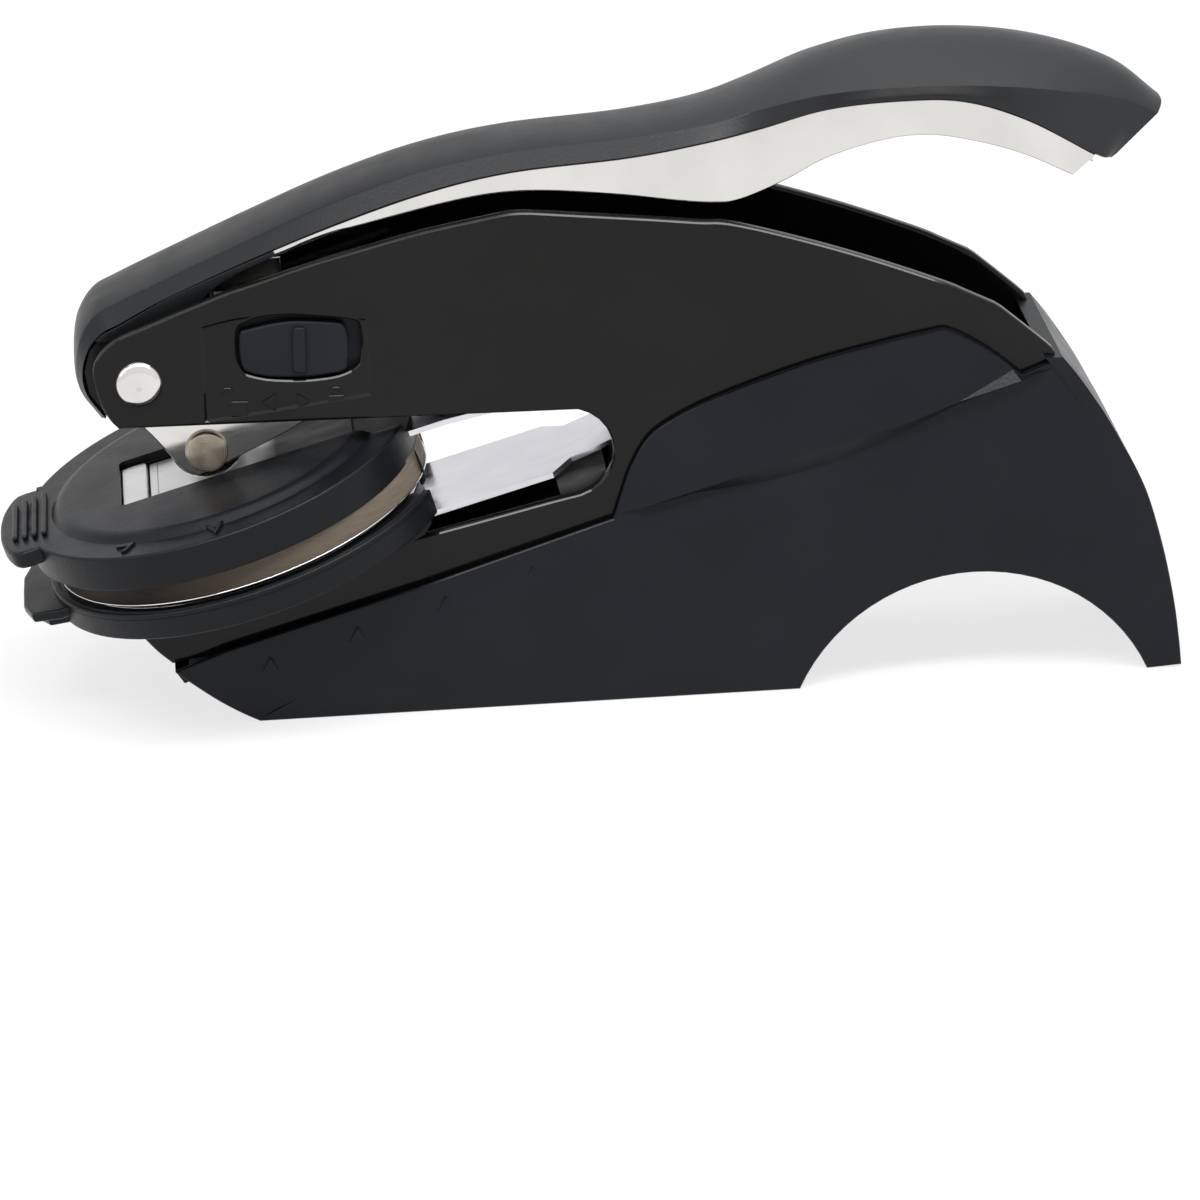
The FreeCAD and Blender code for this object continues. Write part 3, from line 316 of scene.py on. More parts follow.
def bar_round(name, profile, centre, body, surface, *nodes, count):
    # A turned form on an axis across the machine, from pairs of radius and height across.
    verts = []
    for radius, y in profile:
        for index in range(count):
            angle = 2 * math.pi * index / count
            verts.append(spot(centre[0] + radius * math.cos(angle), y, centre[1] + radius * math.sin(angle)))
    return piece(name, verts, tube_faces(len(profile), count), body, surface, *nodes)


# Each row: lower edge x and z, crown x and z, rise of the crease, half widths of the crease and of the lower edge.
COVER_STATIONS = [
    (-16.6, 44.5, -17.7, 42.9, 0.60, 6.3, 8.8),
    (-18.9, 47.9, -20.2, 47.3, 0.70, 6.3, 8.8),
    (-19.4, 51.1, -20.6, 51.3, 0.75, 6.3, 8.8),
    (-18.4, 54.3, -19.9, 55.6, 0.75, 6.3, 8.8),
    (-16.5, 56.5, -17.7, 58.8, 0.80, 6.3, 8.8),
    (-13.7, 57.9, -14.5, 60.5, 0.82, 6.3, 8.8),
    (-7.9, 60.9, -8.3, 63.3, 0.80, 6.3, 8.8),
    (4.4, 66.1, 4.2, 68.8, 0.80, 6.3, 8.8),
    (16.5, 70.6, 16.5, 73.9, 0.80, 6.3, 8.8),
    (28.4, 74.3, 28.4, 77.5, 0.82, 6.3, 8.8),
    (40.0, 76.6, 40.0, 79.5, 0.82, 6.3, 8.8),
    (56.0, 77.8, 56.0, 80.7, 0.80, 6.3, 8.8),
    (66.8, 79.4, 66.8, 82.5, 0.71, 6.9, 8.8),
    (74.2, 81.0, 74.2, 85.0, 0.65, 8.0, 8.8),
    (83.0, 83.2, 83.0, 88.7, 0.50, 10.2, 8.8),
    (92.7, 83.9, 92.7, 91.0, 0.42, 11.7, 8.8),
    (102.0, 83.4, 103.5, 91.15, 0.42, 11.7, 8.8),
    (111.0, 80.2, 114.0, 89.4, 0.54, 10.2, 8.8),
    (120.3, 74.8, 124.0, 85.6, 0.70, 6.9, 8.8),
    (122.8, 73.4, 130.7, 80.2, 0.85, 4.9, 6.2),
]
soft_touch = grained("soft_touch_plastic", "grip_plastic", (0.0060, 0.0066, 0.0078), (0.0082, 0.0088, 0.0100), 0.4,
                     2600.0, 0.00003, specular_ior_level=0.2)
# Painted light: the cover's base colour grows lighter from the middle of the lever towards the handle.
cover_painted_light = soft_touch.spread(soft_touch.axis("X"), 0.0, 1.0, -0.03, 0.045)
soft_touch.set(base_color=soft_touch.blend((0.0062, 0.0068, 0.0080), (0.0210, 0.0220, 0.0240), cover_painted_light))
rows = through(COVER_STATIONS, 8)
verts = []
for low_x, low_z, top_x, top_z, rise, crease_half, foot_half in rows:
    low = Vector((low_x, 0, low_z))
    up = Vector((top_x, 0, top_z)) - low
    swell = min(1.0, max(0.0, (crease_half - 6.3) / 5.4))
    half = [(foot_half - 0.7, 0.0), (foot_half - 0.15, 0.02), (foot_half, 0.10)]
    for share in (0.25, 0.5, 0.75, 0.9):
        half.append((foot_half + (crease_half - foot_half) * share, 0.10 + (rise - 0.10) * share))
    half.append((crease_half, rise))
    for share in (0.97, 0.88, 0.72, 0.5, 0.25):
        crown = rise + (1 - rise) * (1 - share ** (2.6 - 0.9 * swell))
        half.append((crease_half * share, crown))
    line = [(-y, s) for y, s in half] + [(0.0, 1.0)] + [(y, s) for y, s in reversed(half)]
    for y, s in line:
        verts.append(spot(low.x + up.x * s, y, low.z + up.z * s))
piece("grip_cover_shell", verts, tube_faces(len(rows), len(verts) // len(rows)), "lever", soft_touch, "grip_cover",
      smooth=40.0)
skirt = [*curve([(-17.6, 55.6), (-16.5, 56.5), (-13.7, 57.9), (-7.9, 61.0), (-1.4, 63.8), (7.2, 67.2)]), (7.6, 66.5),
         *curve([(3.0, 64.6), (-0.6, 62.6), (-3.4, 60.2), (-8.0, 57.4), (-12.0, 56.2), (-16.2, 55.3)])]
for side, near in (("near", -8.8), ("far", 8.3)):
    sheet(f"grip_cover_skirt_{side}", skirt, near, near + 0.5, "lever", soft_touch, "grip_cover", edge=0.15)
nose = [(-16.6, 44.6), (-18.8, 47.9), (-19.3, 51.1), (-18.4, 54.2), (-16.5, 56.4), (-13.7, 57.8), (-12.5, 56.2),
        (-15.0, 54.8), (-16.7, 53.0), (-17.3, 51.0), (-17.0, 48.6), (-15.2, 45.8)]
sheet("grip_cover_nose_wall", nose, -8.4, 8.4, "lever", soft_touch, "grip_cover", edge=0.1, steps=1)

# Lever channel: a sheet folded to a channel under the cover and chromed. Its low edge shows as a bright
# band that rises to the middle, dips and then arches under the handle. Two arms run down to the roller.
chrome = Surface("lever_chrome", "lever_chrome", metallic=1.0)
chrome.set(base_color=chrome.blend((0.62, 0.61, 0.59), (0.70, 0.69, 0.67), chrome.spread(chrome.noise(90.0), 0, 1)))
chrome.set(roughness=chrome.spread(chrome.noise(300.0, 4.0, (1.0, 1.0, 4.0)), 0.06, 0.13))
chrome.set(normal=chrome.bump(chrome.noise(45.0, 1.0), 0.0006, 0.25))
low_edge = curve([(-1.4, 63.3), (7.6, 66.5), (14.1, 68.9), (19.2, 70.1), (31.0, 72.7), (38.3, 73.7), (45.3, 73.6),
                  (55.0, 72.5), (62.3, 71.3), (67.6, 70.7), (71.3, 71.0), (77.6, 73.5), (83.4, 76.4),
                  (91.3, 78.5), (97.6, 78.8), (104.4, 77.4), (110.8, 75.2), (117.2, 72.0)], 6)
seam = [(x, z) for x, z in rows[5 * 8:18 * 8 + 1, :2]]
arm_front = curve([(-13.5, 55.77), (-16.2, 54.0), (-17.52, 50.4), (-17.1, 48.2), (-15.88, 46.44), (-11.5, 42.3),
                   (-7.9, 37.8), (-5.6, 35.3), (-2.0, 36.0), (10.4, 42.1), (18.0, 48.0)])
arm_back = [(24.0, 51.0), (27.0, 52.5), (27.0, 54.4), (21.5, 54.4), (21.5, 58.8), (13.4, 58.8), (13.4, 57.5),
            (16.5, 57.5), (16.5, 52.4), (8.6, 52.4), (8.6, 61.0), (-1.4, 60.2)]
for side, near in (("near", -8.3), ("far", 6.7)):
    sheet(f"lever_side_{side}", [*low_edge, (120.2, 74.6), *seam[::-1], *arm_front, *arm_back], near, near + 1.6,
          "lever", chrome, "lever_channel", edge=0.22)
web = seam[16:]
sheet("lever_web", [*web, *[(x, z - 1.6) for x, z in web[::-1]]], -6.9, 6.9, "lever", chrome, "lever_channel")

# Press roller and its riveted pin: hardened steel, the pin heads faced on a lathe, so fine rings show.
ROLLER_AXIS = (-3.16, 38.65)
steel = Surface("roller_steel", "rivet_steel", metallic=1.0)
steel.set(base_color=steel.blend((0.62, 0.60, 0.57), (0.72, 0.70, 0.67), steel.spread(steel.noise(160.0), 0, 1)))
steel.set(roughness=steel.spread(steel.noise(500.0, 4.0, (1.0, 0.2, 1.0)), 0.14, 0.26))
faced = Surface("faced_steel", "rivet_steel", metallic=1.0)
roller_middle = ((ROLLER_AXIS[0] - MIDDLE) / 1000, ROLLER_AXIS[1] / 1000)
across = [faced.axis(name) - value for name, value in zip("XZ", roller_middle)]
rings = ((across[0] ** 2.0 + across[1] ** 2.0) ** 0.5) * 26000.0
turning = faced.node("ShaderNodeMath", {"operation": "SINE"}, {0: rings})
stained = faced.spread(faced.noise(420.0, 5.0), 0.0, 1.0)
faced.set(base_color=faced.blend((0.30, 0.25, 0.19), (0.52, 0.46, 0.38), stained))
faced.set(roughness=faced.spread(turning + faced.noise(900.0), 0.26, 0.42, -0.6, 1.8))
faced.set(normal=faced.bump(turning, 0.000012))
bar_round("press_roller_wheel", [(2.05, -5.9), (4.7, -5.9), (5.06, -5.76), (5.2, -5.4), (5.2, 5.4), (5.06, 5.76),
                                 (4.7, 5.9), (2.05, 5.9)], ROLLER_AXIS, "roller", steel, "press_roller", count=72)
bar_round("roller_pin_bar", [(0.0, -9.4), (2.5, -9.4), (2.82, -9.28), (2.95, -8.95), (2.95, -8.32), (2.0, -8.3),
                             (2.0, 8.3), (2.95, 8.32), (2.95, 8.95), (2.82, 9.28), (2.5, 9.4), (0.0, 9.4)],
          ROLLER_AXIS, "lever", faced, "roller_pin", count=64)

# Side plates: black painted steel. The near one has the lock window with a pressed field round it, and marks
# below it: an open padlock, two arrows and a closed padlock.
paint = grained("black_paint", "plate_paint", (0.0030, 0.0029, 0.0026), (0.0050, 0.0049, 0.0045), 0.24, 1500.0,
                0.000015, specular_ior_level=0.05, coat_weight=0.32, coat_roughness=0.05)
PLATE_FACE = 12.34
PLATE_BACK = 10.34
MARK_FACE = -12.06
plate_outline = [
    *curve([(-15.02, 43.93), (-16.0, 45.07), (-16.86, 46.61), (-17.53, 48.52), (-17.95, 50.39), (-18.09, 52.26),
            (-17.75, 53.71), (-16.8, 55.13), (-15.35, 56.42), (-13.57, 57.35), (-10.04, 58.7), (-6.5, 60.1),
            (-3.0, 61.4), (0.5, 62.7), (5.2, 64.1), (11.7, 66.1), (19.56, 68.1), (27.4, 70.0), (37.6, 71.8)], 3),
    (39.2, 72.05), (40.7, 72.1), (42.4, 72.0),
    *curve([(46.9, 71.5), (58.6, 70.2), (65.2, 69.4), (69.3, 69.0), (77.7, 66.6), (88.2, 63.0), (98.8, 58.8),
            (102.1, 57.2), (105.9, 55.3)], 4),
    *curve([(106.9, 54.6), (109.8, 52.1), (113.3, 49.0), (114.2, 48.0), (114.5, 47.0)], 3),
    (114.5, 40.0), (112.0, 26.0), (58.0, 26.0), (49.6, 23.5), (25.2, 16.0), (-4.0, 9.6),
    *curve([(-9.5, 8.6), (-11.4, 10.4), (-13.17, 12.5)], 3), (-12.9, 17.4), (23.9, 27.75), (24.9, 25.35),
    *curve([(33.5, 27.3), (39.9, 28.8), (44.2, 29.8), (48.0, 30.6)], 3),
    *[(46.3 + 6.45 * math.cos(angle), 36.85 + 6.45 * math.sin(angle))
      for angle in [math.radians(-60 + 15 * index) for index in range(10)]],
]
window = curve([(2.18, 57.92), (4.79, 58.9), (8.49, 59.05), (11.69, 58.75), (15.0, 58.3), (17.7, 57.75),
                (18.35, 57.0), (18.57, 54.61), (18.35, 52.6), (17.9, 51.2), (15.58, 50.05), (12.6, 49.65),
                (9.73, 49.62), (6.9, 49.85), (4.83, 50.2), (2.6, 51.0), (1.9, 52.2), (1.6, 54.2), (1.62, 55.6),
                (1.78, 57.2), (2.18, 57.92)], 3)
field = [*curve([(-3.16, 58.15), (0.4, 58.95), (3.92, 59.36), (7.8, 59.5), (11.71, 59.3), (15.5, 58.8),
                 (19.3, 58.05)], 4), (19.55, 54.0), (19.6, 46.9), (-3.26, 44.2)]
pressed = moved_in(turned(field), 0.35)
field_middle = moved_in(turned(field), 0.17)


def near_plate(x, z):
    return -PLATE_FACE + (0.28 if inside((x, z), field_middle) else 0.0)


sheet("side_plate_near", plate_outline, near_plate, -PLATE_BACK, "frame", paint, "side_plate_left", holes=[window],
      lines=[[*field, field[0]], [*map(tuple, pressed), tuple(pressed[0])]], edge=0.55, smooth=25.0)
sheet("side_plate_far", plate_outline, PLATE_BACK, PLATE_FACE, "frame", paint, "side_plate_right", edge=0.55)


def raised(name, outline, level, height, body, surface, *nodes):
    # A low relief mark that stands on a face.
    return sheet(name, outline, level - height, level + 0.05, body, surface, *nodes, edge=0.04, steps=1)


def ring_band(centre, radius, width, start, stop, count=12):
    # A bent band, as for the shackle of a padlock.
    angles = [math.radians(start + (stop - start) * index / count) for index in range(count + 1)]
    outer = [(centre[0] + (radius + width) * math.cos(a), centre[1] + (radius + width) * math.sin(a)) for a in angles]
    inner = [(centre[0] + radius * math.cos(a), centre[1] + radius * math.sin(a)) for a in angles]
    return outer + inner[::-1]


marks = {
    "open_lock_body": [(0.5, 47.1), (2.75, 47.0), (2.65, 44.9), (0.4, 45.0)],
    "open_lock_shackle": ring_band((0.0, 48.2), 0.6, 0.35, -10, 185),
    "left_arrow": [(4.67, 46.75), (6.6, 47.9), (6.5, 45.5)],
    "right_arrow": [(11.2, 46.6), (9.5, 47.7), (9.6, 45.6)],
    "closed_lock_body": [(13.8, 47.2), (15.85, 47.15), (15.75, 44.9), (13.7, 44.95)],
    "closed_lock_shackle": ring_band((14.8, 47.5), 0.6, 0.35, -20, 200),
}
for name, outline in marks.items():
    raised(f"plate_mark_{name}", outline, MARK_FACE, 0.24, "frame", paint, "side_plate_left")

# Lock: a slate coloured slider behind the window. A bar for the thumb stands on it, and it slides to the rear.
slate = grained("slate_plastic", "holder_plastic", (0.0075, 0.0095, 0.0130), (0.0100, 0.0120, 0.0155), 0.5, 2200.0,
                0.00004, specular_ior_level=0.15)
button = curve([(2.3, 57.0), (6.1, 57.8), (9.0, 58.1), (11.7, 57.97), (15.0, 57.6), (16.2, 57.2), (16.7, 55.8),
                (16.8, 53.6), (16.6, 51.6), (16.0, 50.5), (12.6, 50.0), (9.73, 49.95), (6.0, 50.2), (3.0, 51.0),
                (2.2, 52.0), (1.95, 54.0), (2.0, 56.2), (2.3, 57.0)], 3)
sheet("lock_button", button, -11.9, -9.1, "lock", slate, "lock_slider", edge=0.4)
sheet("lock_flange", [(-0.9, 48.3), (19.1, 48.3), (19.1, 60.6), (-0.9, 60.6)], -10.25, -9.05, "lock", slate,
      "lock_slider", edge=0.15)
bar = curve([(9.5, 57.3), (10.8, 57.25), (11.02, 56.3), (10.92, 51.3), (10.67, 50.7), (9.33, 50.78), (9.13, 51.4),
             (9.25, 56.4), (9.5, 57.3)], 2)
sheet("lock_thumb_bar", bar, -12.45, -11.8, "lock", slate, "lock_slider", edge=0.25)

# Main pin: a polished rivet head on each plate, nearly flat, with a shallow dent in its middle.
polished = Surface("polished_rivet", "rivet_steel", metallic=1.0)
polished.set(base_color=polished.blend((0.66, 0.64, 0.62), (0.74, 0.73, 0.71),
                                       polished.spread(polished.noise(200.0), 0, 1)))
polished.set(roughness=polished.spread(polished.noise(600.0, 4.0), 0.07, 0.16))
head = [(0.0, 13.08), (0.35, 13.12), (0.6, 13.22), (1.6, 13.22), (2.3, 13.16), (2.8, 12.98), (3.1, 12.68),
        (3.2, 12.36)]
bar_round("main_rivet", [(r, -y) for r, y in head] + [(2.5, -12.3), (2.5, 12.3)] + head[::-1], (-11.92, 50.4),
          "frame", polished, "main_pivot_pin", count=72)

# Base: one drafted moulding. Each side is a thin wall with a crease along its skirt and a sharp ridge under
# the plate, and a core joins them: chin, floor, arch and rear wall. A groove runs beside the plates.
shell = grained("base_plastic", "base_plastic", (0.0048, 0.0058, 0.0080), (0.0066, 0.0078, 0.0102), 0.36, 2400.0,
                0.00003, specular_ior_level=0.18)
rear_curve = curve([(132.7, 0.3), (132.35, 4.0), (131.5, 10.2), (130.0, 17.6), (127.9, 25.2), (126.0, 29.9),
                    (124.0, 33.7), (121.9, 37.6), (119.6, 41.3), (117.3, 44.7), (115.2, 47.4)], 4)
arch = [(103.0 + 27.1 * math.cos(angle), -11.0 + 27.1 * math.sin(angle))
        for angle in [math.radians(156.0 - (132.0 * index) / 28) for index in range(29)]]
groove_line = [(-9.2, 8.2), (-1.9, 10.9), (25.2, 18.7), (52.4, 27.2)]
panel = [*curve([(109.6, 45.2), (105.2, 48.9), (99.6, 52.2), (96.5, 52.1), (89.7, 50.8), (79.5, 48.4), (68.1, 44.6),
                 (61.9, 41.9), (57.5, 38.9), (54.9, 34.5), (53.6, 30.9), (52.4, 27.2)], 4)]
chin = curve([(-9.2, 8.0), (-6.4, 5.7), (-3.3, 3.3), (-0.2, 1.3), (2.2, 0.0)], 3)
base_outline = [*chin, *arch, *rear_curve, *panel, *groove_line[::-1]]
crease = [(3.5, 1.2), (5.2, 2.6), (8.5, 4.1), (13.3, 7.0), (17.8, 9.6), (25.0, 12.3), (30.8, 15.1), (43.7, 19.3),
          (50.4, 22.2), (58.1, 24.3), (69.9, 27.6), (83.5, 30.6), (91.8, 31.9), (98.9, 32.6), (106.0, 32.5)]
ridge = [(53.2, 28.0), (57.5, 29.4), (69.9, 32.9), (83.5, 36.5), (92.9, 39.1), (100.5, 42.0), (109.3, 44.6),
         (113.9, 45.8)]
wedge = [(53.2, 28.0), (57.5, 29.0), (64.1, 30.4), (74.1, 31.6), (83.5, 33.8), (91.8, 37.0), (100.6, 41.2),
         (109.3, 44.2), (113.9, 45.8)]
proud = {point: 1.0 for point in crease} | {point: 1.2 for point in ridge[1:-1]} | {point: 0.0 for point in wedge}
proud |= {crease[0]: 0.0, crease[1]: 0.5, crease[-2]: 0.5, crease[-1]: 0.0}


def base_side(x, z):
    # Half width of the base, with its draft and what its creases stand out.
    return 14.4 - 0.0275 * z + proud.get((round(x, 3), round(z, 3)), 0.0)


def groove_wall(x, z):
    return 13.35 - 0.55 * min(1.0, max(0.0, (x + 9.0) / 60.0))


lines = [crease, ridge, wedge]
sheet("base_side_near", base_outline, lambda x, z: -base_side(x, z), lambda x, z: -groove_wall(x, z), "frame", shell,
      "base_shell", lines=lines, edge=0.4, smooth=28.0)
sheet("base_side_far", base_outline, lambda x, z: -base_side(x, z), lambda x, z: -groove_wall(x, z), "frame", shell,
      "base_shell", lines=lines, edge=0.4, smooth=28.0, at=lambda x, y, z: spot(x, -y, z))
core_top = [(x + 1.2, z - 2.1) for x, z in groove_line[:3]] + [(50.0, 24.3)]
inner_rear = [(x - 2.4, z) for x, z in rear_curve[4:]]
core = [*chin, *arch, *rear_curve, *inner_rear[::-1], (129.8, 3.2), (127.6, 3.2),
        *[(103.0 + 29.5 * math.cos(angle), -11.0 + 29.5 * math.sin(angle))
          for angle in [math.radians(29.0 + (122.0 * index) / 24) for index in range(25)]],
        (74.0, 3.2), (6.0, 3.2), (4.0, 8.0), (46.0, 19.8), (48.8, 22.0), *core_top[::-1]]
sheet("base_core", core, -13.4, 13.4, "frame", shell, "base_shell", edge=0.0, steps=1)
triangle = [(-1.15, -0.7), (1.15, -0.7), (0.0, 1.3)]
for index, (x, z) in enumerate([(4.0, 10.4), (16.3, 14.2), (28.7, 18.0), (40.9, 21.7)]):
    z -= 1.9
    level = -base_side(x, z) - 0.3
    outline = [(x + dx, z + dz) for dx, dz in triangle]
    raised(f"base_pointer_{index + 1}", outline, level, 0.45, "frame", shell, "base_shell")


# Lower holder of the insert: a shallow dish with a faceted finger lug in front and a rounded stop behind.
# It carries the chromed die plate.
SLOPE = (0.9624, 0.2715)
INSERT_HEIGHT = 29.82


def on_insert(u, level, v):
    # Places on the insert: along the slope to the rear, below the underside of the upper holder, and across.
    along, rise = SLOPE
    return spot(u * along + level * rise, v, INSERT_HEIGHT + u * rise - level * along)


def arc(radius, start, stop, count, centre=0.0):
    angles = [math.radians(start + (stop - start) * index / count) for index in range(count + 1)]
    return [(centre + radius * math.cos(angle), radius * math.sin(angle)) for angle in angles]


def insert_sheet(name, outline, high, low, *rest, **more):
    # A flat piece of the insert, drawn in plan, between two heights above the underside of the upper holder.
    return sheet(name, outline, -high, -low, *rest, at=on_insert, **more)


holder = grained("holder_plastic", "holder_plastic", (0.0045, 0.0052, 0.0068), (0.0062, 0.0070, 0.0086), 0.34, 2200.0,
                 0.00004, specular_ior_level=0.17)
circle = arc(1.0, 0, 360, 120)[:-1]


def disc(radius, centre=0.0):
    return [(centre + radius * x, radius * y) for x, y in circle]


def open_ring(outer, inner, inner_centre):
    # A ring of the lower holder, open at the rear for the clip's leaf.
    return arc(outer, 25, 335, 100, LOWER_CENTRE) + arc(inner, 335, 25, 100, inner_centre)


LOWER_RADIUS = 28.9
LOWER_CENTRE = 0.7
LOWER_TOP = -4.95
LOWER_FOOT = -8.43
insert_sheet("lower_holder_rim", open_ring(LOWER_RADIUS, 25.56, 0.0), LOWER_TOP, LOWER_FOOT, "insert", holder,
             "lower_holder", edge=0.3)
insert_sheet("lower_holder_lip", open_ring(LOWER_RADIUS, 27.75, LOWER_CENTRE), -4.55, -5.4, "insert", holder,
             "lower_holder", edge=(0.35, 0.0))
insert_sheet("lower_holder_floor", disc(25.6), -6.56, LOWER_FOOT, "insert", holder, "lower_holder", edge=0.0,
             steps=1)
lug = [(-23.0, -11.0), (-27.5, -11.0), (-31.3, -9.2), (-32.5, -5.0), (-32.56, 0.0), (-32.5, 5.0), (-31.3, 9.2),
       (-27.5, 11.0), (-23.0, 11.0), (-25.9, 0.0)]
insert_sheet("lower_finger_lug", lug, -5.4, -6.9, "insert", holder, "lower_holder", edge=0.45, smooth=30.0)
lower_lug = [(-24.0, -10.2), (-29.5, -8.4), (-31.4, -4.6), (-31.5, 0.0), (-31.4, 4.6), (-29.5, 8.4), (-24.0, 10.2),
             (-25.9, 0.0)]
insert_sheet("lower_finger_lug_foot", lower_lug, -6.8, LOWER_FOOT, "insert", holder, "lower_holder", edge=0.45,
             smooth=30.0)
rear_lug = curve([(22.9, 29.4), (23.7, 30.11), (24.4, 30.68), (25.33, 30.99), (26.22, 30.57), (26.85, 28.93),
                  (27.38, 27.67), (26.4, 25.8)], 3) + [(24.87, 24.9), (21.5, 25.6)]
sheet("lower_rear_lug", rear_lug, -12.4, -8.6, "insert", holder, "lower_holder", edge=0.5)
plated = Surface("die_chrome", "die_chrome", metallic=1.0)
plated.set(base_color=plated.blend((0.72, 0.71, 0.70), (0.80, 0.79, 0.78), plated.spread(plated.noise(120.0), 0, 1)))
plated.set(roughness=plated.spread(plated.noise(700.0, 4.0), 0.05, 0.12))
insert_sheet("lower_die_disc", disc(25.5), LOWER_TOP, -6.55, "insert", plated, "lower_die_plate", edge=0.3)

# Counter die: a thick disc of hard fibre under the upper holder, faced with a thin chromed plate. Its colour
# is painted dark brown in front and pale towards the rear, as painted light and shade along its rim.
fibre = Surface("fibre_board", "counter_plastic", specular_ior_level=0.12)
# Painted light and shade: the brown runs from dark in front to pale towards the rear.
fibre_painted_light = fibre.spread(fibre.axis("X"), 0.0, 1.0, -0.062, -0.022)
layered = fibre.noise(300.0, 4.0, (1.0, 1.0, 9.0), 0.275)
fibre_painted_light_tone = fibre.blend((0.010, 0.0065, 0.004), (0.220, 0.180, 0.140), fibre_painted_light)
fibre.set(base_color=fibre.blend(fibre_painted_light_tone, (0.05, 0.036, 0.025), fibre.spread(layered, 0.0, 0.3)))
fibre.set(roughness=fibre.spread(layered, 0.38, 0.6))
fibre.set(normal=fibre.bump(layered, 0.00004))
insert_sheet("counter_die_board", disc(26.9, 0.4), 0.0, -3.88, "upper", fibre, "counter_die", edge=0.1, steps=1)
insert_sheet("counter_die_face", disc(27.1, 0.4), -3.86, -4.12, "upper", plated, "counter_die", edge=0.1)

# Upper holder: rim, soft raised middle, ribbed finger tab and an open channel. A chevron and a bent mark in
# relief tell which side is up.
UPPER_CENTRE = -0.9
CHANNEL_HALF = 8.25
CHANNEL_FRONT = -14.5
UPPER_RADIUS = 28.1
UPPER_TOP = 4.39
CHANNEL_FLOOR = 3.04
MIDDLE_TOP = 5.40


def horseshoe(radius, corner=0.9):
    # A disc with the channel taken out of it from the rear.
    reach = math.degrees(math.asin(CHANNEL_HALF / radius))
    front = [(CHANNEL_FRONT + corner - corner * math.sin(a), CHANNEL_HALF - corner + corner * math.cos(a))
             for a in [math.radians(22.5 * index) for index in range(5)]]
    return arc(radius, reach, 360 - reach, 110, UPPER_CENTRE) + [(x, -y) for x, y in front] + front[::-1]


insert_sheet("upper_holder_bed", disc(UPPER_RADIUS, UPPER_CENTRE), CHANNEL_FLOOR, -0.7, "upper", holder,
             "upper_holder", edge=(0.0, 0.3))
insert_sheet("upper_holder_rim", horseshoe(UPPER_RADIUS), UPPER_TOP, CHANNEL_FLOOR, "upper", holder, "upper_holder",
             edge=(0.4, 0.0))
levels = [(24.2, 4.30), (23.9, 4.42), (23.5, 4.70), (23.1, 5.02), (22.6, 5.27), (21.8, MIDDLE_TOP)]
rings, count = [], len(horseshoe(levels[0][0]))
for radius, level in levels:
    rings += [on_insert(u, -level, v) for u, v in horseshoe(radius)]
summit = horseshoe(levels[-1][0])
flat, edges = [Vector(point) for point in summit], [(index, (index + 1) % count) for index in range(count)]
faces = tube_faces(len(levels), count, False)
points, _, triangles, *_ = delaunay_2d_cdt(flat, edges, [], 0, 1e-5)
start = len(rings)
rings += [on_insert(u, -MIDDLE_TOP, v) for u, v in points]
for triangle in triangles:
    centre = sum((points[index] for index in triangle), Vector((0.0, 0.0))) / 3
    if inside(centre, summit):
        faces.append(tuple(start + index for index in triangle))
piece("upper_holder_middle", rings, faces, "upper", holder, "upper_holder", smooth=40.0)
tab = [(-26.5, -11.0), (-30.0, -10.9), (-31.7, -7.4), (-32.4, -3.6), (-32.56, 0.0), (-32.4, 3.6), (-31.7, 7.4),
       (-30.0, 10.9), (-26.5, 11.0), (-28.6, 0.0)]
insert_sheet("upper_finger_tab", curve([*tab[:9], (-26.5, 11.0)], 3), UPPER_TOP, 1.9, "upper", holder, "upper_holder",
             edge=0.6)
for index, (u, half) in enumerate([(-25.9, 7.2), (-27.3, 6.8), (-28.7, 6.5), (-30.1, 6.0)]):
    outline = [(u + 0.42 * math.cos(a), (half if math.sin(a) >= 0 else -half) + 0.42 * math.sin(a))
               for a in [math.radians(22.5 * step + 0.01) for step in range(16)]]
    insert_sheet(f"upper_tab_rib_{index + 1}", outline, 5.1, 4.3, "upper", holder, "upper_holder", edge=0.3)
catch = curve([(24.6, 36.59), (25.18, 36.8), (25.73, 36.28), (26.57, 34.03), (26.96, 32.04), (26.47, 31.21),
               (26.03, 31.85), (25.22, 34.84), (24.6, 36.59)], 3)
sheet("upper_holder_catch", catch, -7.3, -5.9, "upper", holder, "upper_holder", edge=0.3)
bent = [(-3.15, -22.9), (-2.55, -22.75), (-1.55, -25.7), (-0.55, -22.55), (-0.05, -22.75), (-1.55, -27.0)]
insert_sheet("upper_mark_bent", bent, 4.75, 4.3, "upper", holder, "upper_holder", edge=0.08)
chevron = [(-15.6, -19.9), (-14.9, -20.4), (-12.9, -20.9), (-14.2, -22.9), (-15.0, -22.9), (-13.9, -21.5),
           (-15.6, -20.8)]
insert_sheet("upper_mark_chevron", chevron, 4.75, 4.3, "upper", holder, "upper_holder", edge=0.08)

# Pressure strip in the channel: a bright sheet whose front end is stepped up, with a fold line behind it. Its
# rear part is painted dark, as painted shade under the lever.
pale = Surface("bright_strip", "die_chrome", metallic=1.0)
strip_unshaded_tone = pale.blend((0.66, 0.66, 0.67), (0.72, 0.72, 0.73), pale.spread(pale.noise(90.0), 0, 1))
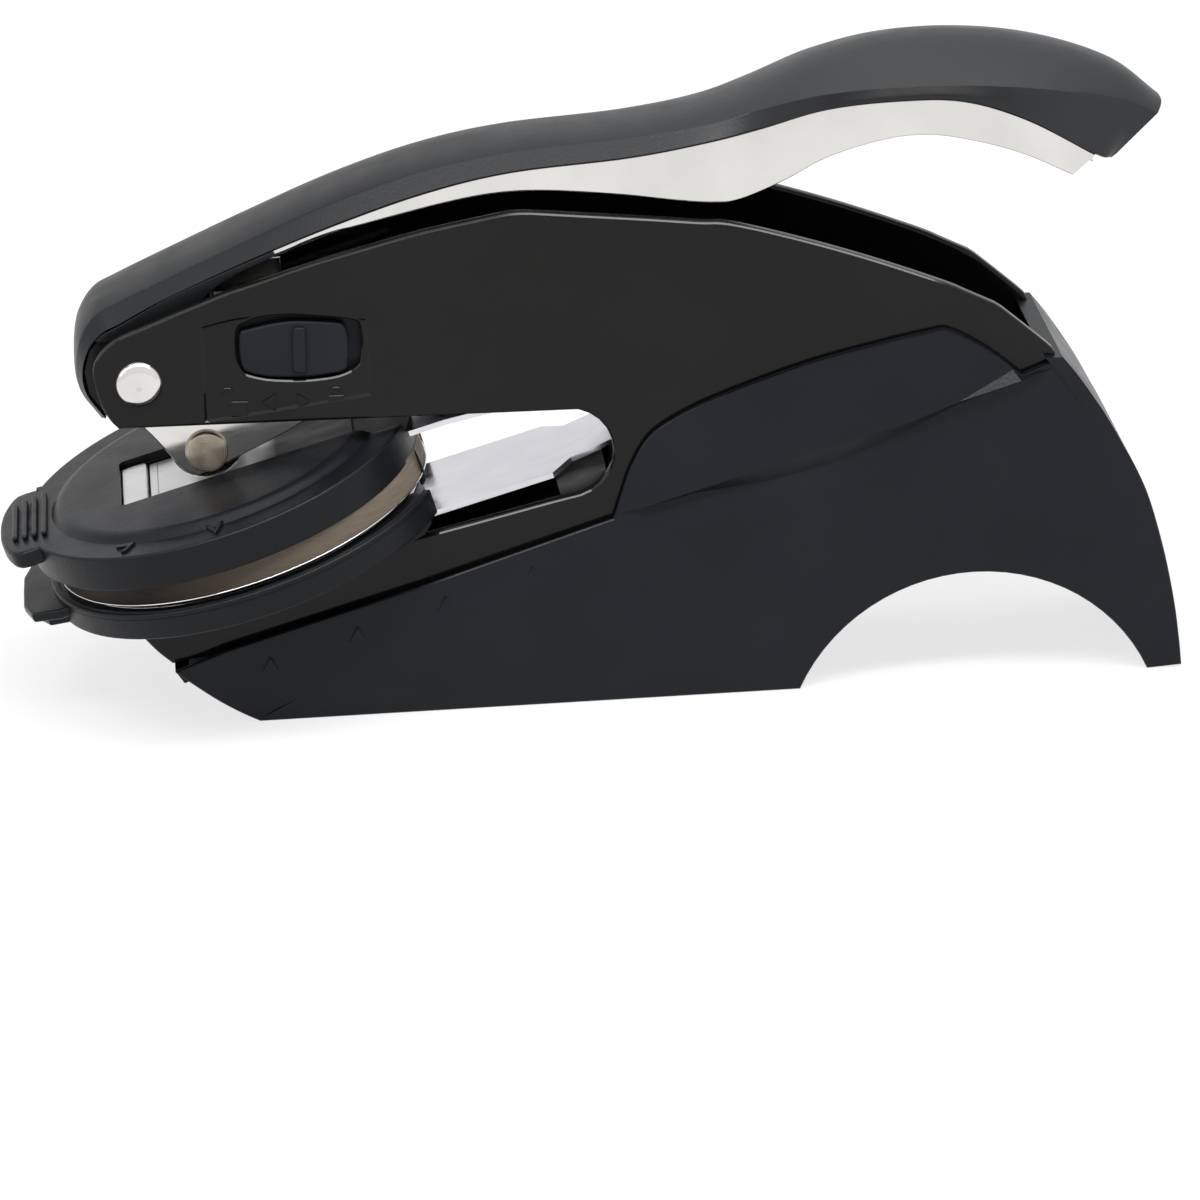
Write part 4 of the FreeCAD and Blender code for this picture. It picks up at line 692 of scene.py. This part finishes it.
# Painted shade: behind its front part the strip's colour is painted nearly black.
strip_painted_shade = pale.spread(pale.axis("X"), 0.0, 1.0, -0.0455, -0.0435)
pale.set(base_color=pale.blend(strip_unshaded_tone, (0.025, 0.024, 0.022), strip_painted_shade))
pale.set(roughness=pale.spread(pale.noise(500.0, 4.0, (0.2, 1.0, 1.0)), 0.34, 0.46))
front_tab = curve([(-10.75, -7.4), (-14.3, -7.4), (-14.4, -7.3), (-14.4, 6.4), (-14.1, 7.2), (-13.5, 7.4),
                   (-11.7, 7.4), (-11.0, 7.2), (-10.75, 6.6)], 2)
insert_sheet("strip_front_end", front_tab, 4.6, 3.4, "upper", pale, "pressure_strip", edge=0.2)
insert_sheet("strip_step", [(-10.5, -7.5), (-9.3, -7.5), (-9.3, 7.5), (-10.5, 7.5)], 4.06, 3.06, "upper", pale,
             "pressure_strip", edge=0.18)
insert_sheet("strip_run", [(-9.3, -7.5), (19.0, -7.5), (19.0, 7.5), (-9.3, 7.5)], 4.03, 3.06, "upper", pale,
             "pressure_strip", edge=0.1)

# Spring clip: one polished spring steel strip. Its broad lower leaf is riveted under the lower holder and runs
# to the rear, narrows at a neck, folds back on itself and ends in the slot of the upper holder.
clip_steel = Surface("clip_steel", "spring_steel", metallic=1.0)
clip_steel.set(base_color=clip_steel.blend((0.60, 0.60, 0.63), (0.68, 0.68, 0.71),
                                           clip_steel.spread(clip_steel.noise(80.0), 0, 1)))
clip_steel.set(roughness=clip_steel.spread(clip_steel.noise(600.0, 4.0, (0.15, 1.0, 1.0)), 0.14, 0.26))
fold = [(73.8 + 2.4 * math.cos(angle), -3.9 + 2.4 * math.sin(angle))
        for angle in [math.radians(-90 + 22.5 * step) for step in range(9)]]
clip_line = [(-9.9, -8.46, 6.65), (19.6, -8.46, 9.0), (25.0, -9.25, 9.0), (43.6, -9.25, 9.0), (46.6, -9.0, 6.1),
             (52.8, -8.28, 6.1), *[(u, level, 6.1) for u, level in fold], (31.6, 1.49, 6.65), (19.0, 1.49, 6.65)]
verts = []
for index, (u, level, half) in enumerate(clip_line):
    before, after = clip_line[max(index - 1, 0)], clip_line[min(index + 1, len(clip_line) - 1)]
    way = Vector((after[0] - before[0], after[1] - before[1])).normalized() * 0.78
    for du, dn, side in ((0, 0, -1), (0, 0, 1), (way.y, -way.x, 1), (way.y, -way.x, -1)):
        verts.append(on_insert(u + du, -level - dn, side * half))
piece("spring_clip_strip", verts, tube_faces(len(clip_line), 4), "insert", clip_steel, "spring_clip", smooth=25.0)

# Pieces that keep their built shape: pins, washers, blocks, screws, pads, the return spring and the guides.
rubber = grained("pad_rubber", "foot_rubber", (0.016, 0.016, 0.016), (0.022, 0.022, 0.022), 0.75, 900.0, 0.0001)
cast = grained("block_alloy", "spring_steel", (0.36, 0.36, 0.37), (0.44, 0.44, 0.45), 0.42, 700.0, 0.00008,
               metallic=1.0)
zinc = Surface("zinc_plated", "screw_steel", metallic=1.0)
zinc.set(base_color=zinc.blend((0.50, 0.50, 0.49), (0.62, 0.62, 0.60), zinc.spread(zinc.noise(260.0), 0, 1)))
zinc.set(roughness=zinc.spread(zinc.noise(900.0, 4.0), 0.22, 0.38))
wire = Surface("spring_wire", "spring_steel", metallic=1.0)
wire.set(base_color=wire.blend((0.32, 0.32, 0.33), (0.44, 0.44, 0.45), wire.spread(wire.noise(350.0), 0, 1)))
wire.set(roughness=wire.spread(wire.noise(900.0, 3.0), 0.2, 0.34))
nylon = grained("guide_nylon", "inner_plastic", (0.020, 0.020, 0.021), (0.028, 0.028, 0.029), 0.5, 1800.0, 0.00005)
kept = {
    "front_foot_pad": rubber, "rear_foot_pad": rubber, "frame_tie_blocks": cast,
    "base_screws": zinc, "frame_rivets": paint, "clip_rivets": polished, "grip_screws": zinc,
    "roller_washers": nylon, "pivot_washers": nylon, "lever_stop_pin": zinc, "lever_return_spring": wire,
    "leaf_guide": nylon, "lock_guide_rails": nylon, "lock_tongue": zinc,
}
for node, surface in kept.items():
    surface.on(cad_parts[node])

# Table and light: a white top under the embosser, a broad lamp overhead, a smaller one at the left and a long
# narrow one high in front, which draws thin bright lines on painted edges. Light that falls on things is dimmer
# than the white that the camera and glossy surfaces see.
half_top = 4.0
top = bpy.data.meshes.new("table_top")
top.from_pydata([(-half_top, -half_top, 0), (half_top, -half_top, 0), (half_top, half_top, 0),
                 (-half_top, half_top, 0)], [], [(0, 1, 2, 3)])
table = bpy.data.objects.new("table_top", top)
bpy.context.collection.objects.link(table)


def seen(nodes):
    # 1 for rays from the camera, off glossy surfaces and through clear ones, and 0 for light that falls on things.
    path = nodes.tree.nodes.new("ShaderNodeLightPath")
    rays = [Tint(nodes, path.outputs[f"Is {kind} Ray"]) for kind in ("Camera", "Glossy", "Transmission")]
    return rays[0].sum("MAXIMUM", rays[1]).sum("MAXIMUM", rays[2])


white = (1.0, 1.0, 1.0)
paper = Surface("table_white", "table", roughness=0.9)
paper.set(base_color=paper.blend((0.80, 0.80, 0.80), (0.82, 0.82, 0.82), paper.spread(paper.noise(3.0), 0.0, 1.0)))
glow = paper.node("ShaderNodeEmission", {}, {"Color": white, "Strength": 1.0})
bare = Tint(paper, paper.shader.outputs[0])
paper.feed(paper.tree.nodes["Material Output"].inputs["Surface"],
           paper.node("ShaderNodeMixShader", {}, {0: seen(paper) * 0.75, 1: bare, 2: glow}))
paper.on(table)
world = bpy.data.worlds.new("studio")
world.use_nodes = True
bpy.context.scene.world = world
sky = Nodes(world.node_tree)
dim, bright = (sky.node("ShaderNodeBackground", {}, {"Color": white, "Strength": level}) for level in (0.5, 1.0))
sky.feed(sky.tree.nodes["World Output"].inputs["Surface"],
         sky.node("ShaderNodeMixShader", {}, {0: seen(sky), 1: dim, 2: bright}))


def lamp(name, place, aim, width, height, power):
    made = bpy.data.lights.new(name, "AREA")
    made.shape = "RECTANGLE"
    made.size, made.size_y, made.energy = width, height, power
    thing = bpy.data.objects.new(name, made)
    bpy.context.collection.objects.link(thing)
    thing.location = place
    thing.rotation_euler = (Vector(aim) - Vector(place)).to_track_quat("-Z", "Y").to_euler()


lamp("Overhead", (0.05, 0.10, 0.95), (0.0, 0.0, 0.03), 1.0, 0.8, 3.5)
lamp("Left", (-0.9, -0.35, 0.55), (0.0, 0.0, 0.03), 0.6, 0.6, 1.6)
lamp("Strip", (0.03, -0.36, 0.84), (0.0, 0.0, 0.05), 1.3, 0.16, 11.0)
